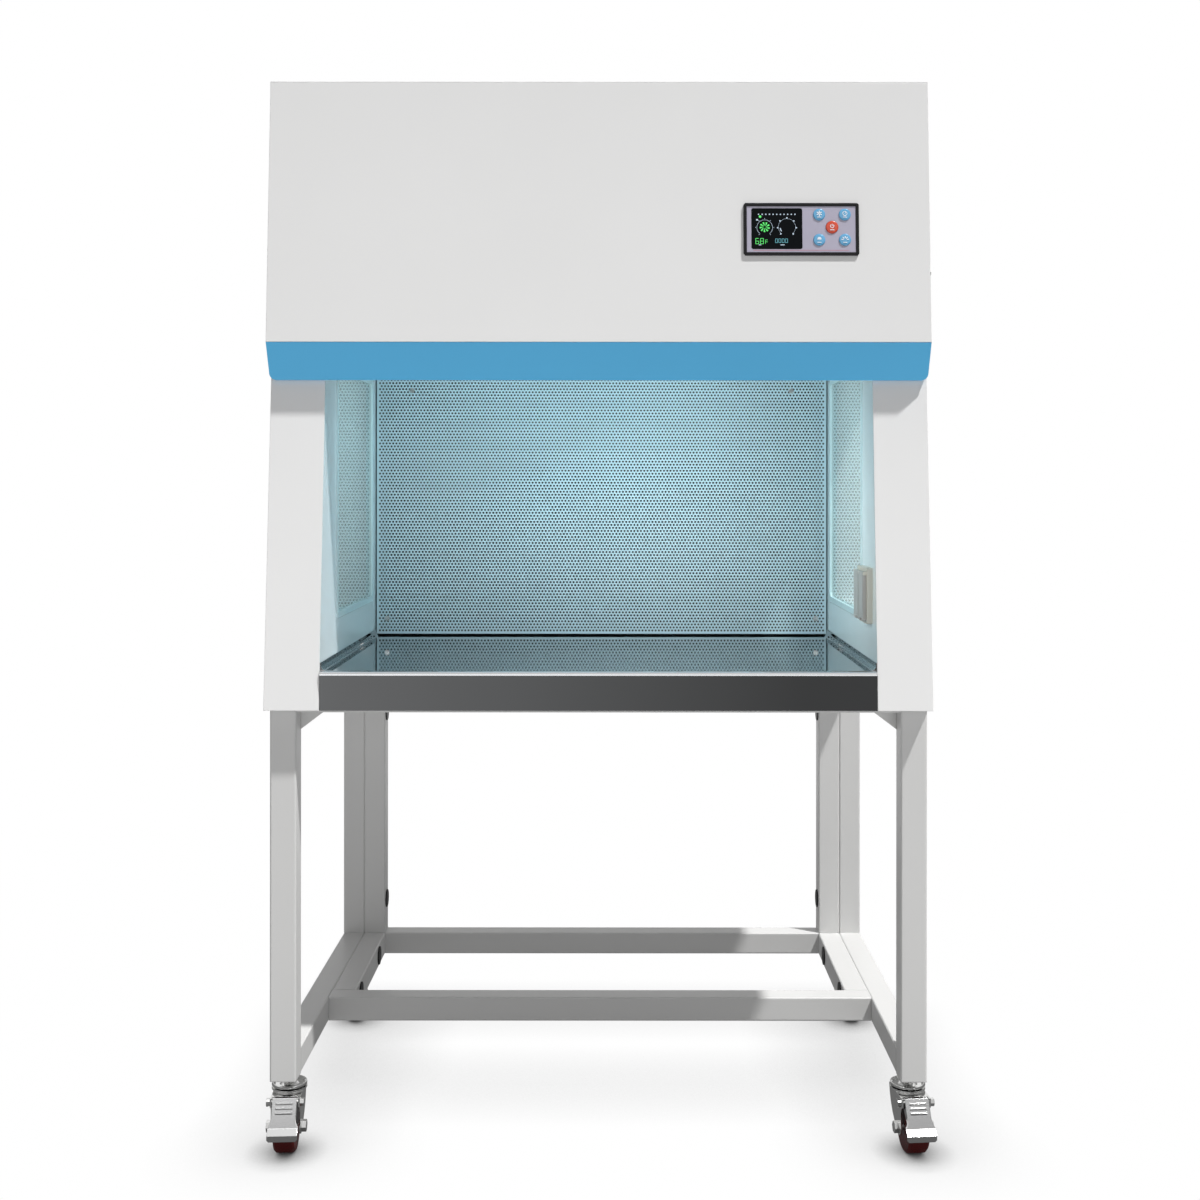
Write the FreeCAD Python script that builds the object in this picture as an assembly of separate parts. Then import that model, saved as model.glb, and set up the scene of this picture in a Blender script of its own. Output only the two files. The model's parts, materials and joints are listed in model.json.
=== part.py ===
import FreeCAD, Part
import math
import os

# Horizontal laminar flow cabinet on a wheeled stand, in millimetres.
# +Z is up, +X is to the user's right and the open front faces -Y. While a piece is drawn, y is
# measured back from the front edge of the cabinet's pillars. The export then moves it, so that the
# origin lies on the floor under the middle of the cabinet.

# Sheet metal and general clearances
SHEET = 1.5
FIT = 0.3
RUNNING_FIT = 0.06

# Flats on round pieces that are hidden or slim
PIN_SIDES = 12
ROUND_SIDES = 24
RACE_SIDES = 36
WHEEL_SIDES = 48
ARC_POINTS = 6

# Cabinet body
CABINET_WIDTH = 1006.0
CABINET_DEPTH = 740.0
CABINET_TOP = 1638.6
SKIRT_BOTTOM = 682.0
SKIRT_CLEARANCE = 6.0
SIDE_CAVITY = 83.0
PILLAR_LEAN = 5.97
CEILING_Z = 1240.0

# Head with its sloping front and the coloured band under it
HEAD_FRONT = 14.5
HEAD_LEAN = 4.57
BAND_TOP_Z = 1236.6
BAND_BOTTOM_Z = 1181.8
BAND_SLOPE_RUN = 29.0
BAND_CORNER = 9.0
PANEL_JOINT = 0.8
RETURN_DEPTH = 15.0

# Worktop
WORK_Z = 741.3
LIP_FRONT = 2.0
NOSE_RADIUS = 8.0
LIP_RETURN = 16.0
COVE_RADIUS = 8.0
COVE_HEIGHT = 12.0

# Base pan between the worktop and the stand
PAN_FRONT = 8.0
PAN_RIB_WIDTH = 44.0
PAN_RIB_PITCH = 256.0
PAN_RIB_COUNT = 4

# Diffuser wall and the filter behind it
AIR_WALL_DEPTH = 184.4
DIFFUSER_GAP = 2.5
DIFFUSER_FLOOR_GAP = 3.2
DIFFUSER_RETURN = 23.0
FILTER_DEPTH = 69.0
FILTER_RIM = 20.0
PLEAT_COUNT = 24
PLEAT_INSET = 4.0
PLEAT_THICKNESS = 6.0
LOW_SCREW_INSET = 22.0
LOW_SCREW_RISE = 31.7
HIGH_SCREW_INSET = 68.0
HIGH_SCREW_DROP = 44.0

# Side windows
WINDOW_FRONT = 158.0
WINDOW_BACK_MARGIN = 48.6
WINDOW_BOTTOM = 818.0
WINDOW_HEIGHT = 386.0
WINDOW_CLIP = 7.0
GASKET_RIM = 10.0
GASKET_PROUD = 2.0
GASKET_DEPTH = 12.0
GLASS_THICKNESS = 5.0
GLASS_INSET = 1.0
GLASS_BITE = 5.0

# Top inlet and prefilter
INLET_SETBACK = 340.0
INLET_SLOT_LENGTH = 190.0
INLET_SLOT_WIDTH = 12.0
INLET_COLUMNS = 2
INLET_ROWS = 8
INLET_COLUMN_PITCH = 215.0
INLET_ROW_PITCH = 34.0
PREFILTER_MARGIN = 16.0
PREFILTER_HEIGHT = 22.0

# Blower, with its shaft along X
IMPELLER_RADIUS = 100.0
IMPELLER_WIDTH = 118.0
BLADE_COUNT = 16
BLADE_CHORD = 18.0
BLADE_HOOK = 9.0
BLADE_THICKNESS = 1.6
BLOWER_SETBACK = 200.0
BLOWER_CENTRE_Z = 1425.0
SCROLL_START_GAP = 7.0
SCROLL_GROWTH = 83.0
SCROLL_START_ANGLE = -45.0
SCROLL_SWEEP = 315.0
SCROLL_STEPS = 15
SCROLL_WIDTH = 140.0
SCROLL_WALL = 2.0
TONGUE_DROP = 80.0
OUTLET_FLANGE = 14.0
INLET_RADIUS = 84.0
MOTOR_RADIUS = 62.0
MOTOR_LENGTH = 96.0
MOTOR_FLANGE = 14.0
MOTOR_BORE_DEPTH = 77.0
SHAFT_RADIUS = 6.0
SHAFT_REACH = 67.0
HUB_RADIUS = 14.0
HUB_HOLE_RADIUS = 18.0
HUB_LENGTH = 30.0

# Lamps under the chamber ceiling
LAMP_LENGTH = 590.0
LIGHT_TUBE_RADIUS = 8.0
LIGHT_TUBE_Y = 96.0
UV_TUBE_RADIUS = 13.0
UV_TUBE_Y = 150.0
LAMP_DROP = 26.0
HOLDER_LENGTH = 22.0
HOLDER_WIDTH = 30.0
LAMP_PIN_RADIUS = 1.5

# Control module on the sloping head
CONTROL_INSET = 195.7
CONTROL_Z = 1409.5
CONTROL_WIDTH = 175.0
CONTROL_HEIGHT = 80.5
CONTROL_RIM = 4.5
CONTROL_CORNER = 2.5
CONTROL_PROUD = 3.5
CONTROL_SLEEVE_DEPTH = 14.0
KEYPAD_RECESS = 1.0
SCREEN_LEFT = -75.5
SCREEN_WIDTH = 76.8
SCREEN_BOTTOM = -30.3
SCREEN_HEIGHT = 62.4
SCREEN_CORNER = 2.0
KEY_LEFT = 27.2
KEY_RIGHT = 66.1
KEY_UPPER = 22.6
KEY_LOWER = -16.3
KEY_RADIUS = 8.8
STOP_KEY_RADIUS = 9.4
KEY_FLANGE = 1.4
KEY_PROUD = 2.3
KEY_TRAVEL = 1.0
BOARD_THICKNESS = 1.6

# Double socket on the right wall of the chamber
SOCKET_FRONT = 50.0
SOCKET_LENGTH = 94.0
SOCKET_BOTTOM = 808.0
SOCKET_HEIGHT = 86.0
SOCKET_THICKNESS = 9.0
SOCKET_CORNER = 3.0
SOCKET_MARGIN = 8.0
SOCKET_HOLE_DROP = 3.0
SOCKET_HOLE_SPREAD = 9.0
SOCKET_HOLE_WIDTH = 3.0
SOCKET_HOLE_HEIGHT = 7.0
SOCKET_BOX_SHARE = 0.417
SOCKET_PITCH = 46.0
SOCKET_RECESS_RADIUS = 17.5
SOCKET_RECESS_DEPTH = 8.0
COVER_WIDTH = 40.0
COVER_THICKNESS = 5.7
COVER_MARGIN = 5.0
COVER_HINGE_DROP = 8.5
COVER_BARREL_RADIUS = 2.7
COVER_PIN_RADIUS = 1.2
COVER_EAR = 2.0
COVER_EDGE = 1.5
COVER_LIP = 2.0

# Stand, of square tube
TUBE = 40.0
TUBE_WALL = 1.5
TUBE_CORNER = 1.8
STAND_SIDE_GAP = 3.0
STAND_SETBACK = 31.0
STAND_REAR_GAP = 21.0
STAND_TOP = 715.0
CASTER_HEIGHT = 112.7
CENTRE_FRAME_DEPTH = 418.2
GUSSET_DROP = 31.0
GUSSET_RUN = 41.0
GUSSET_THICKNESS = 3.0
PLUG_FACE = 2.5
PLUG_DEPTH = 14.0

# Bolts that hold the centre frame between the side frames, and their caps
UPRIGHT_BOLT_HEIGHTS = (215.0, 579.0)
RAIL_BOLT_SETBACKS = (361.0, 570.0)
BOLT_RADIUS = 4.0
BOLT_HEAD_RADIUS = 7.0
BOLT_HEAD_LENGTH = 8.0
BOLT_REACH = 10.0
CAP_RADIUS = 16.5
CAP_PLUG_RADIUS = 12.0
CAP_PROUD = 2.2
CAP_DEPTH = 6.0

# Casters. A caster is drawn about its own swivel axis, with the wheel trailing towards -y.
CASTER_INSET = 50.5
WHEEL_RADIUS = 38.0
WHEEL_WIDTH = 32.0
WHEEL_EDGE = 3.2
TRAIL = 30.0
AXLE_RADIUS = 5.0
FORK_GAP = 40.0
FORK_PLATE = 2.5
FORK_EYE_RADIUS = 12.0
FORK_EYE_TURN = 32.0
FORK_BULGE = 0.14
CROWN_Z = 84.0
CROWN_BACK = 24.0
RACE_RADIUS = 27.0
RACE_GAP = 1.8
LOWER_RACE = 5.2
UPPER_RACE = 5.0
RACE_TAPER = 2.4
KINGPIN_RADIUS = 6.0
KINGPIN_NUT = 4.0
KINGPIN_NUT_FLATS = 16.0
STEM_RADIUS = 5.0
STEM_NUT_HEIGHT = 8.0
STEM_NUT_FLATS = 17.0
AXLE_NUT_FLATS = 16.0
AXLE_NUT_HEIGHT = 8.0

# Brake pedals of the front casters
PEDAL_PIVOT = (-42.0, 79.0)
PEDAL_PIN_RADIUS = 3.0
PEDAL_LUG = 6.0
LUG_BACK = 2.0
PEDAL_NUT_FLATS = 11.0
PEDAL_EYE_RADIUS = 4.7
PEDAL_SHEET = 1.8
PEDAL_WIDTH = 37.0
PEDAL_TOE_WIDTH = 45.6
PEDAL_FLANGE_GAP = 34.0
PEDAL_RIDGE_RADIUS = 1.4
PEDAL_RIDGE_LENGTH = 25.0
PEDAL_RIDGE_COUNT = 3
PEDAL_RIDGE_START = 7.2
PEDAL_RIDGE_PITCH = 6.0
SHOE_GAP = 1.0
SHOE_LENGTH = 16.0

# Side view of the pedal as (y, z): its outer face from the top edge down, and its side flange
PEDAL_TOP = (-49.0, 88.0)
PEDAL_KNEE = (-71.0, 50.0)
PEDAL_TOE = (-79.0, 42.0)
PEDAL_LOW = (-79.0, 33.0)
PEDAL_SIDE = [(-44.0, 83.2), (-49.0, 87.0), (-70.4, 51.0), (-63.0, 51.0), (-39.0, 75.0)]

# Flare of the pedal in front view: its low, middle and high points, and its width at the middle
PEDAL_CORNER = 3.0
PEDAL_FLARE = (51.0, 57.0, 67.0)
PEDAL_FLARE_SHARE = 0.28

# Where each caster stands at rest: side of the stand, end of the stand, turn about its axis, brake
CASTERS = {
    "front_left": (-1, "front", 3.2, True),
    "front_right": (1, "front", 5.5, True),
    "rear_left": (-1, "rear", 18.0, False),
    "rear_right": (1, "rear", -7.0, False),
}

# Small fixings and the mains inlet
SCREW_HEAD_RADIUS = 4.5
SCREW_HEAD_HEIGHT = 2.0
SCREW_SHANK_RADIUS = 2.0
SCREW_LENGTH = 8.0
REAR_SCREW_ROWS = 4
REAR_SCREW_MARGIN = 12.0
SIDE_SCREW_Z = 1345.0
SIDE_SCREW_SETBACK = 9.0
POWER_INLET_X = -300.0
POWER_INLET_Z = 1300.0
POWER_INLET_WIDTH = 48.0
POWER_INLET_HEIGHT = 28.0
POWER_INLET_DEPTH = 26.0
POWER_INLET_LAP = 3.0
POWER_INLET_RIM = 2.0
POWER_INLET_CLIP = 3.0
POWER_INLET_FLOOR = 8.0
POWER_RECESS_WIDTH = 26.0
POWER_RECESS_HEIGHT = 15.0
POWER_PIN_WIDTH = 2.0
POWER_PIN_PITCH = 7.0

# Places that follow from the sizes above
HALF_WIDTH = CABINET_WIDTH / 2
HALF_CHAMBER = HALF_WIDTH - SIDE_CAVITY
CONTROL_X = HALF_WIDTH - CONTROL_INSET
SKIN_INSIDE = HALF_WIDTH - SHEET
SOCKET_BOX_DEPTH = (SKIN_INSIDE - HALF_CHAMBER) * SOCKET_BOX_SHARE
DIFFUSER_FRONT = CABINET_DEPTH - AIR_WALL_DEPTH
WINDOW_LENGTH = DIFFUSER_FRONT - WINDOW_BACK_MARGIN - WINDOW_FRONT
INLET_CENTRE_Y = CABINET_DEPTH - INLET_SETBACK
BLOWER_CENTRE_Y = CABINET_DEPTH - BLOWER_SETBACK
REAR_INSIDE = CABINET_DEPTH - SHEET
ROOF_UNDERSIDE = CABINET_TOP - SHEET
PAN_TOP = STAND_TOP + SHEET
WORK_UNDERSIDE = WORK_Z - SHEET
DECK_TOP = CEILING_Z + SHEET
BAND_BOTTOM_Y = HEAD_FRONT + BAND_SLOPE_RUN
FILTER_FRONT = DIFFUSER_FRONT + SHEET + DIFFUSER_RETURN
FILTER_REAR = FILTER_FRONT + FILTER_DEPTH
STAND_WIDTH = CABINET_WIDTH - 2 * STAND_SIDE_GAP
STAND_REAR = CABINET_DEPTH - STAND_REAR_GAP
LEG_X = STAND_WIDTH / 2 - TUBE / 2
SIDE_FRAME_INSIDE = STAND_WIDTH / 2 - TUBE
CENTRE_TUBE_X = SIDE_FRAME_INSIDE - TUBE / 2
LOW_RAIL_Z = CASTER_HEIGHT + TUBE / 2
HIGH_RAIL_Z = STAND_TOP - TUBE / 2
REAR_LEG_Y = STAND_REAR - TUBE / 2
CENTRE_FRAME_FRONT = STAND_REAR - CENTRE_FRAME_DEPTH
SCROLL_START = IMPELLER_RADIUS + SCROLL_START_GAP
SCROLL_END = SCROLL_START + SCROLL_GROWTH
FORK_OUTSIDE = FORK_GAP / 2 + FORK_PLATE
KEYS = {
    "fan_key": (KEY_LEFT, KEY_UPPER, KEY_RADIUS),
    "lamp_key": (KEY_RIGHT, KEY_UPPER, KEY_RADIUS),
    "power_key": ((KEY_LEFT + KEY_RIGHT) / 2, (KEY_UPPER + KEY_LOWER) / 2, STOP_KEY_RADIUS),
    "socket_key": (KEY_LEFT, KEY_LOWER, KEY_RADIUS),
    "uv_key": (KEY_RIGHT, KEY_LOWER, KEY_RADIUS),
}

V = FreeCAD.Vector
AXES = {"x": V(1, 0, 0), "y": V(0, 1, 0), "z": V(0, 0, 1)}
CLOSE = 0.01


# General shapes

def place(axis, along, a, b):
    """A point from its place along an axis and its other two coordinates, in X, Y, Z order."""
    if axis == "x":
        return V(along, a, b)
    if axis == "y":
        return V(a, along, b)
    return V(a, b, along)


def prism(outline, axis, start, end):
    """An outline of (a, b) points carried along an axis."""
    corners = [place(axis, start, a, b) for a, b in outline]
    face = Part.Face(Part.makePolygon(corners + corners[:1]))
    return face.extrude(AXES[axis] * (end - start))


def rectangle(a0, a1, b0, b1):
    return [(a0, b0), (a1, b0), (a1, b1), (a0, b1)]


def box(x0, x1, y0, y1, z0, z1):
    return Part.makeBox(x1 - x0, y1 - y0, z1 - z0, V(x0, y0, z0))


def cylinder(axis, radius, start, end, a, b):
    return Part.makeCylinder(radius, end - start, place(axis, start, a, b), AXES[axis])


def many_sided(axis, sides, radius, start, end, a, b):
    """A regular bar that a circle of the radius fits inside. Hidden round pieces are drawn with it."""
    reach = radius / math.cos(math.pi / sides)
    turns = [2 * math.pi / sides * i for i in range(sides)]
    return prism([(a + reach * math.cos(t), b + reach * math.sin(t)) for t in turns], axis, start, end)


def hexagon(axis, flats, start, end, a, b):
    """A nut, a bolt head or a small shank, from its width across the flats."""
    return many_sided(axis, 6, flats / 2, start, end, a, b)


def shaft(axis, radius, start, end, a, b):
    """A slim pin or shaft. Its corners lie on the radius, so it turns freely in a bore."""
    return many_sided(axis, PIN_SIDES, radius * math.cos(math.pi / PIN_SIDES), start, end, a, b)


def bore(axis, radius, start, end, a, b):
    """Cutter for the hole that a shaft of the radius turns in."""
    return many_sided(axis, PIN_SIDES, radius + RUNNING_FIT, start, end, a, b)


def bolt_hole(axis, radius, start, end, a, b):
    """Cutter for the hidden hole round a bolt that doesn't turn."""
    return hexagon(axis, 2 * (radius + FIT), start, end, a, b)


def edges_along(solid, axis):
    """The straight edges of a solid that run along an axis."""
    found = []
    for edge in solid.Edges:
        if len(edge.Vertexes) == 2:
            run = edge.Vertexes[1].Point - edge.Vertexes[0].Point
            if run.Length > CLOSE and abs(abs(run.dot(AXES[axis])) - run.Length) < CLOSE:
                found.append(edge)
    return found


def rim_edges(solid, axis, along):
    """The edges of a solid that lie flat in one plane across an axis."""
    points = [(edge, [vertex.Point.dot(AXES[axis]) for vertex in edge.Vertexes]) for edge in solid.Edges]
    return [edge for edge, places in points if all(abs(place - along) < CLOSE for place in places)]


def clipped_box(axis, start, end, a0, a1, b0, b1, clip):
    """A box whose long corners are cut off at 45 degrees."""
    outline = [(a0 + clip, b0), (a1 - clip, b0), (a1, b0 + clip), (a1, b1 - clip),
               (a1 - clip, b1), (a0 + clip, b1), (a0, b1 - clip), (a0, b0 + clip)]
    return prism(outline, axis, start, end)


def round_bends(solid, axis, bends):
    """Rounds the edges that run along an axis through each (a, b, radius)."""
    for a, b, radius in bends:
        corner = place(axis, 0, a, b)
        near = []
        for edge in edges_along(solid, axis):
            offset = edge.Vertexes[0].Point - corner
            offset = offset - AXES[axis] * offset.dot(AXES[axis])
            if offset.Length < CLOSE:
                near.append(edge)
        solid = solid.makeFillet(radius, near)
    return solid


def join(*shapes):
    return shapes[0].multiFuse(list(shapes[1:])).removeSplitter()


def arc(first, middle, last):
    """Points along an arc, so that a curved edge gets a few flats."""
    return Part.Arc(first, middle, last).toShape().discretize(Number=ARC_POINTS)


def mirrored(shape):
    return shape.mirror(V(0, 0, 0), AXES["x"])


def offset_path(path, distance):
    """The path moved to its left by a distance, with mitred corners."""
    normals = []
    for (a0, b0), (a1, b1) in zip(path, path[1:]):
        length = math.hypot(a1 - a0, b1 - b0)
        normals.append(((b0 - b1) / length, (a1 - a0) / length))
    moved = []
    for i, (a, b) in enumerate(path):
        first = normals[max(i - 1, 0)]
        second = normals[min(i, len(normals) - 1)]
        share = distance / (1 + first[0] * second[0] + first[1] * second[1])
        moved.append((a + (first[0] + second[0]) * share, b + (first[1] + second[1]) * share))
    return moved


def bent_sheet(path, axis, start, end, thickness=SHEET):
    """Sheet metal whose outer face follows the path, with its thickness on the path's left."""
    return prism(path + offset_path(path, thickness)[::-1], axis, start, end)


def export(node, *shapes):
    solids = [solid for shape in shapes for solid in shape.Solids]
    whole = solids[0] if len(solids) == 1 else Part.makeCompound(solids)
    whole = whole.copy()
    whole.translate(V(0, -CABINET_DEPTH / 2, 0))
    whole.exportStep("parts/" + node + ".step")


# Slopes of the cabinet's front

def pillar_y(z):
    return (z - SKIRT_BOTTOM) * math.tan(math.radians(PILLAR_LEAN))


def head_y(z):
    return HEAD_FRONT + (z - BAND_TOP_Z) * math.tan(math.radians(HEAD_LEAN))


def pillar_sheet():
    return SHEET / math.cos(math.radians(PILLAR_LEAN))


# Stand

def tube(axis, start, end, a, b):
    """Square tube with eased corners, centred on (a, b)."""
    half = TUBE / 2
    inside = half - TUBE_WALL
    outer = clipped_box(axis, start, end, a - half, a + half, b - half, b + half, TUBE_CORNER)
    return outer.cut(prism(rectangle(a - inside, a + inside, b - inside, b + inside), axis, start, end))


def bolt_places():
    """(y, z) of the bolts through one side of the centre frame."""
    uprights = [(REAR_LEG_Y, z) for z in UPRIGHT_BOLT_HEIGHTS]
    rails = [(STAND_SETBACK + setback, LOW_RAIL_Z) for setback in RAIL_BOLT_SETBACKS]
    return uprights + rails


def caster_place(side, end):
    """(x, y) of a caster's swivel axis."""
    if end == "front":
        return side * LEG_X, STAND_SETBACK + CASTER_INSET
    return side * LEG_X, STAND_REAR - CASTER_INSET


def side_frame():
    """Right side frame: a full-height front leg and a rear leg that stands on the bottom rail."""
    leg_back = STAND_SETBACK + TUBE
    front_leg = tube("z", CASTER_HEIGHT, STAND_TOP, LEG_X, STAND_SETBACK + TUBE / 2)
    rear_leg = tube("z", CASTER_HEIGHT + TUBE, STAND_TOP, LEG_X, REAR_LEG_Y)
    bottom_rail = tube("y", leg_back, STAND_REAR, LEG_X, LOW_RAIL_Z)
    top_rail = tube("y", leg_back, STAND_REAR - TUBE, LEG_X, HIGH_RAIL_Z)
    for end in ("front", "rear"):
        x, y = caster_place(1, end)
        hole = bolt_hole("z", STEM_RADIUS, CASTER_HEIGHT - TUBE_WALL, CASTER_HEIGHT + 2 * TUBE_WALL, x, y)
        bottom_rail = bottom_rail.cut(hole)
    tubes = [rear_leg, bottom_rail]
    for y, z in bolt_places():
        start = SIDE_FRAME_INSIDE - TUBE_WALL
        hole = bolt_hole("x", BOLT_RADIUS, start, start + 3 * TUBE_WALL, y, z)
        tubes = [piece.cut(hole) for piece in tubes]
    return [front_leg, top_rail] + tubes


def centre_frame():
    """The frame between the side frames: a low rectangle and two rear uprights under a top rail."""
    reach = SIDE_FRAME_INSIDE
    pieces = [
        tube("x", -reach, reach, CENTRE_FRAME_FRONT + TUBE / 2, LOW_RAIL_Z),
        tube("x", -reach, reach, REAR_LEG_Y, LOW_RAIL_Z),
        tube("x", -reach, reach, REAR_LEG_Y, HIGH_RAIL_Z),
    ]
    for side in (-1, 1):
        x = side * CENTRE_TUBE_X
        rail = tube("y", CENTRE_FRAME_FRONT + TUBE, STAND_REAR - TUBE, x, LOW_RAIL_Z)
        upright = tube("z", CASTER_HEIGHT + TUBE, STAND_TOP - TUBE, x, REAR_LEG_Y)
        for y, z in bolt_places():
            inner = CENTRE_TUBE_X - TUBE / 2
            access = bolt_hole("x", CAP_PLUG_RADIUS, inner - TUBE_WALL, inner + 2 * TUBE_WALL, y, z)
            shank = bolt_hole("x", BOLT_RADIUS, inner, reach + TUBE_WALL, y, z)
            holes = access.fuse(shank)
            if side < 0:
                holes = mirrored(holes)
            rail = rail.cut(holes)
            upright = upright.cut(holes)
        pieces += [rail, upright]
    return pieces


def front_cross_rail():
    """The rail between the front legs, with a triangular gusset welded in each corner."""
    rail = tube("x", -SIDE_FRAME_INSIDE, SIDE_FRAME_INSIDE, STAND_SETBACK + TUBE / 2, HIGH_RAIL_Z)
    under = STAND_TOP - TUBE
    reach = SIDE_FRAME_INSIDE
    triangle = [(reach, under), (reach - GUSSET_RUN, under), (reach, under - GUSSET_DROP)]
    back = STAND_SETBACK + TUBE - TUBE_CORNER
    gusset = prism(triangle, "y", back - GUSSET_THICKNESS, back)
    return join(rail, gusset, mirrored(gusset))


def frame_bolts():
    """Bolts from inside the centre frame, screwed into the inner walls of the side frames."""
    bolts = []
    head_face = SIDE_FRAME_INSIDE - TUBE_WALL
    for y, z in bolt_places():
        head = hexagon("x", 2 * BOLT_HEAD_RADIUS, head_face - BOLT_HEAD_LENGTH, head_face, y, z)
        shank = hexagon("x", 2 * BOLT_RADIUS, head_face, SIDE_FRAME_INSIDE + BOLT_REACH, y, z)
        bolt = join(head, shank)
        bolts += [bolt, mirrored(bolt)]
    return bolts


def bolt_caps():
    """Plastic caps in the access holes of the centre frame."""
    caps = []
    face = CENTRE_TUBE_X - TUBE / 2
    for y, z in bolt_places():
        disc = many_sided("x", PIN_SIDES, CAP_RADIUS, face - CAP_PROUD, face, y, z)
        cap = join(disc, hexagon("x", 2 * CAP_PLUG_RADIUS, face, face + CAP_DEPTH, y, z))
        caps += [cap, mirrored(cap)]
    return caps


def tube_end_plugs():
    """Plastic plugs in the open rear ends of the bottom side rails."""
    reach = TUBE / 2 - TUBE_WALL - FIT / 2
    half = TUBE / 2
    x, z = LEG_X, LOW_RAIL_Z
    start = STAND_REAR - PLUG_DEPTH
    face = clipped_box("y", STAND_REAR, STAND_REAR + PLUG_FACE, x - half, x + half, z - half, z + half,
                       TUBE_CORNER)
    inner = prism(rectangle(x - reach, x + reach, z - reach, z + reach), "y", start, STAND_REAR)
    plug = join(face, inner)
    return [plug, mirrored(plug)]


# Casters, each about its own swivel axis

def caster_stem():
    """Threaded stem with its nuts, the upper race and the kingpin that the fork hangs on."""
    crown_clear = CROWN_Z - FIT
    race_bottom = CROWN_Z + LOWER_RACE + RACE_GAP
    race_top = race_bottom + UPPER_RACE
    race = cylinder("z", RACE_RADIUS, race_bottom, race_top, 0, 0)
    inside = CASTER_HEIGHT + TUBE_WALL
    return join(
        race,
        shaft("z", KINGPIN_RADIUS, crown_clear, race_bottom, 0, 0),
        hexagon("z", KINGPIN_NUT_FLATS, crown_clear - KINGPIN_NUT, crown_clear, 0, 0),
        hexagon("z", 2 * STEM_RADIUS, race_top, inside + STEM_NUT_HEIGHT, 0, 0),
        hexagon("z", STEM_NUT_FLATS, CASTER_HEIGHT - STEM_NUT_HEIGHT, CASTER_HEIGHT, 0, 0),
        hexagon("z", STEM_NUT_FLATS, inside, inside + STEM_NUT_HEIGHT, 0, 0),
    )


def fork_side(braked):
    """Outline of one fork plate: wide under the crown, narrowing to the eye round the axle."""
    top = CROWN_Z + FORK_PLATE
    eye = V(0, -TRAIL, WHEEL_RADIUS)
    turn = math.radians(FORK_EYE_TURN)
    back_top = V(0, CROWN_BACK, top)
    eye_back = eye + V(0, FORK_EYE_RADIUS * math.cos(turn), -FORK_EYE_RADIUS * math.sin(turn))
    eye_low = eye + V(0, 0, -FORK_EYE_RADIUS)
    eye_front = eye + V(0, -FORK_EYE_RADIUS, 0)
    middle = (back_top + eye_back) * 0.5
    bulge = middle + (V(0, back_top.z - eye_back.z, eye_back.y - back_top.y) * FORK_BULGE)
    if braked:
        pivot_y, pivot_z = PEDAL_PIVOT
        nose = pivot_y - PEDAL_LUG
        front = [
            V(0, pivot_y + LUG_BACK, pivot_z - 2 * PEDAL_LUG),
            V(0, nose, pivot_z - PEDAL_LUG),
            V(0, nose, top),
        ]
    else:
        front = [V(0, -CROWN_BACK, top)]
    back = arc(back_top, bulge, eye_back)[:-1]
    corners = back + arc(eye_back, eye_low, eye_front) + front
    return Part.Face(Part.makePolygon(corners + corners[:1])).extrude(V(FORK_PLATE, 0, 0))


def caster_fork(braked):
    """Pressed fork: the lower race on a crown plate with a plate down each side of the wheel."""
    race = many_sided("z", RACE_SIDES, RACE_RADIUS, CROWN_Z, CROWN_Z + LOWER_RACE, 0, 0)
    race = race.makeChamfer(RACE_TAPER, rim_edges(race, "z", CROWN_Z))
    front = PEDAL_PIVOT[0] + LUG_BACK if braked else -CROWN_BACK
    crown = box(-FORK_OUTSIDE, FORK_OUTSIDE, front, CROWN_BACK, CROWN_Z, CROWN_Z + FORK_PLATE)
    right = fork_side(braked)
    right.translate(V(FORK_GAP / 2, 0, 0))
    left = fork_side(braked)
    left.translate(V(-FORK_OUTSIDE, 0, 0))
    fork = join(race, crown, right, left).cut(bore("z", KINGPIN_RADIUS, 0, 2 * CROWN_Z, 0, 0))
    fork = fork.cut(bolt_hole("x", AXLE_RADIUS, -CASTER_HEIGHT, CASTER_HEIGHT, -TRAIL, WHEEL_RADIUS))
    if braked:
        fork = fork.cut(bolt_hole("x", PEDAL_PIN_RADIUS, -CASTER_HEIGHT, CASTER_HEIGHT, *PEDAL_PIVOT))
    return fork


def caster_pins(braked):
    """The axle bolt with its nut and, on a braked caster, the pedal's pivot bolt."""
    y, z = -TRAIL, WHEEL_RADIUS
    axle = join(
        shaft("x", AXLE_RADIUS, -FORK_OUTSIDE, FORK_OUTSIDE, y, z),
        hexagon("x", AXLE_NUT_FLATS, -FORK_OUTSIDE - AXLE_NUT_HEIGHT, -FORK_OUTSIDE, y, z),
        hexagon("x", AXLE_NUT_FLATS, FORK_OUTSIDE, FORK_OUTSIDE + AXLE_NUT_HEIGHT, y, z),
    )
    if not braked:
        return [axle]
    head = 2 * PEDAL_PIN_RADIUS
    pivot = join(
        shaft("x", PEDAL_PIN_RADIUS, -FORK_OUTSIDE, FORK_OUTSIDE, *PEDAL_PIVOT),
        many_sided("x", PIN_SIDES, head, -FORK_OUTSIDE - head, -FORK_OUTSIDE, *PEDAL_PIVOT),
        hexagon("x", PEDAL_NUT_FLATS, FORK_OUTSIDE, FORK_OUTSIDE + head, *PEDAL_PIVOT),
    )
    return [axle, pivot]


def caster_wheel():
    """Wheel with a chamfered tread and a round bore that runs on the axle."""
    half = WHEEL_WIDTH / 2
    wheel = many_sided("x", WHEEL_SIDES, WHEEL_RADIUS * math.cos(math.pi / WHEEL_SIDES), -half, half, -TRAIL,
                       WHEEL_RADIUS)
    rims = rim_edges(wheel, "x", -half) + rim_edges(wheel, "x", half)
    wheel = wheel.makeChamfer(WHEEL_EDGE, rims)
    return wheel.cut(cylinder("x", AXLE_RADIUS + RUNNING_FIT, -half, half, -TRAIL, WHEEL_RADIUS))


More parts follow.
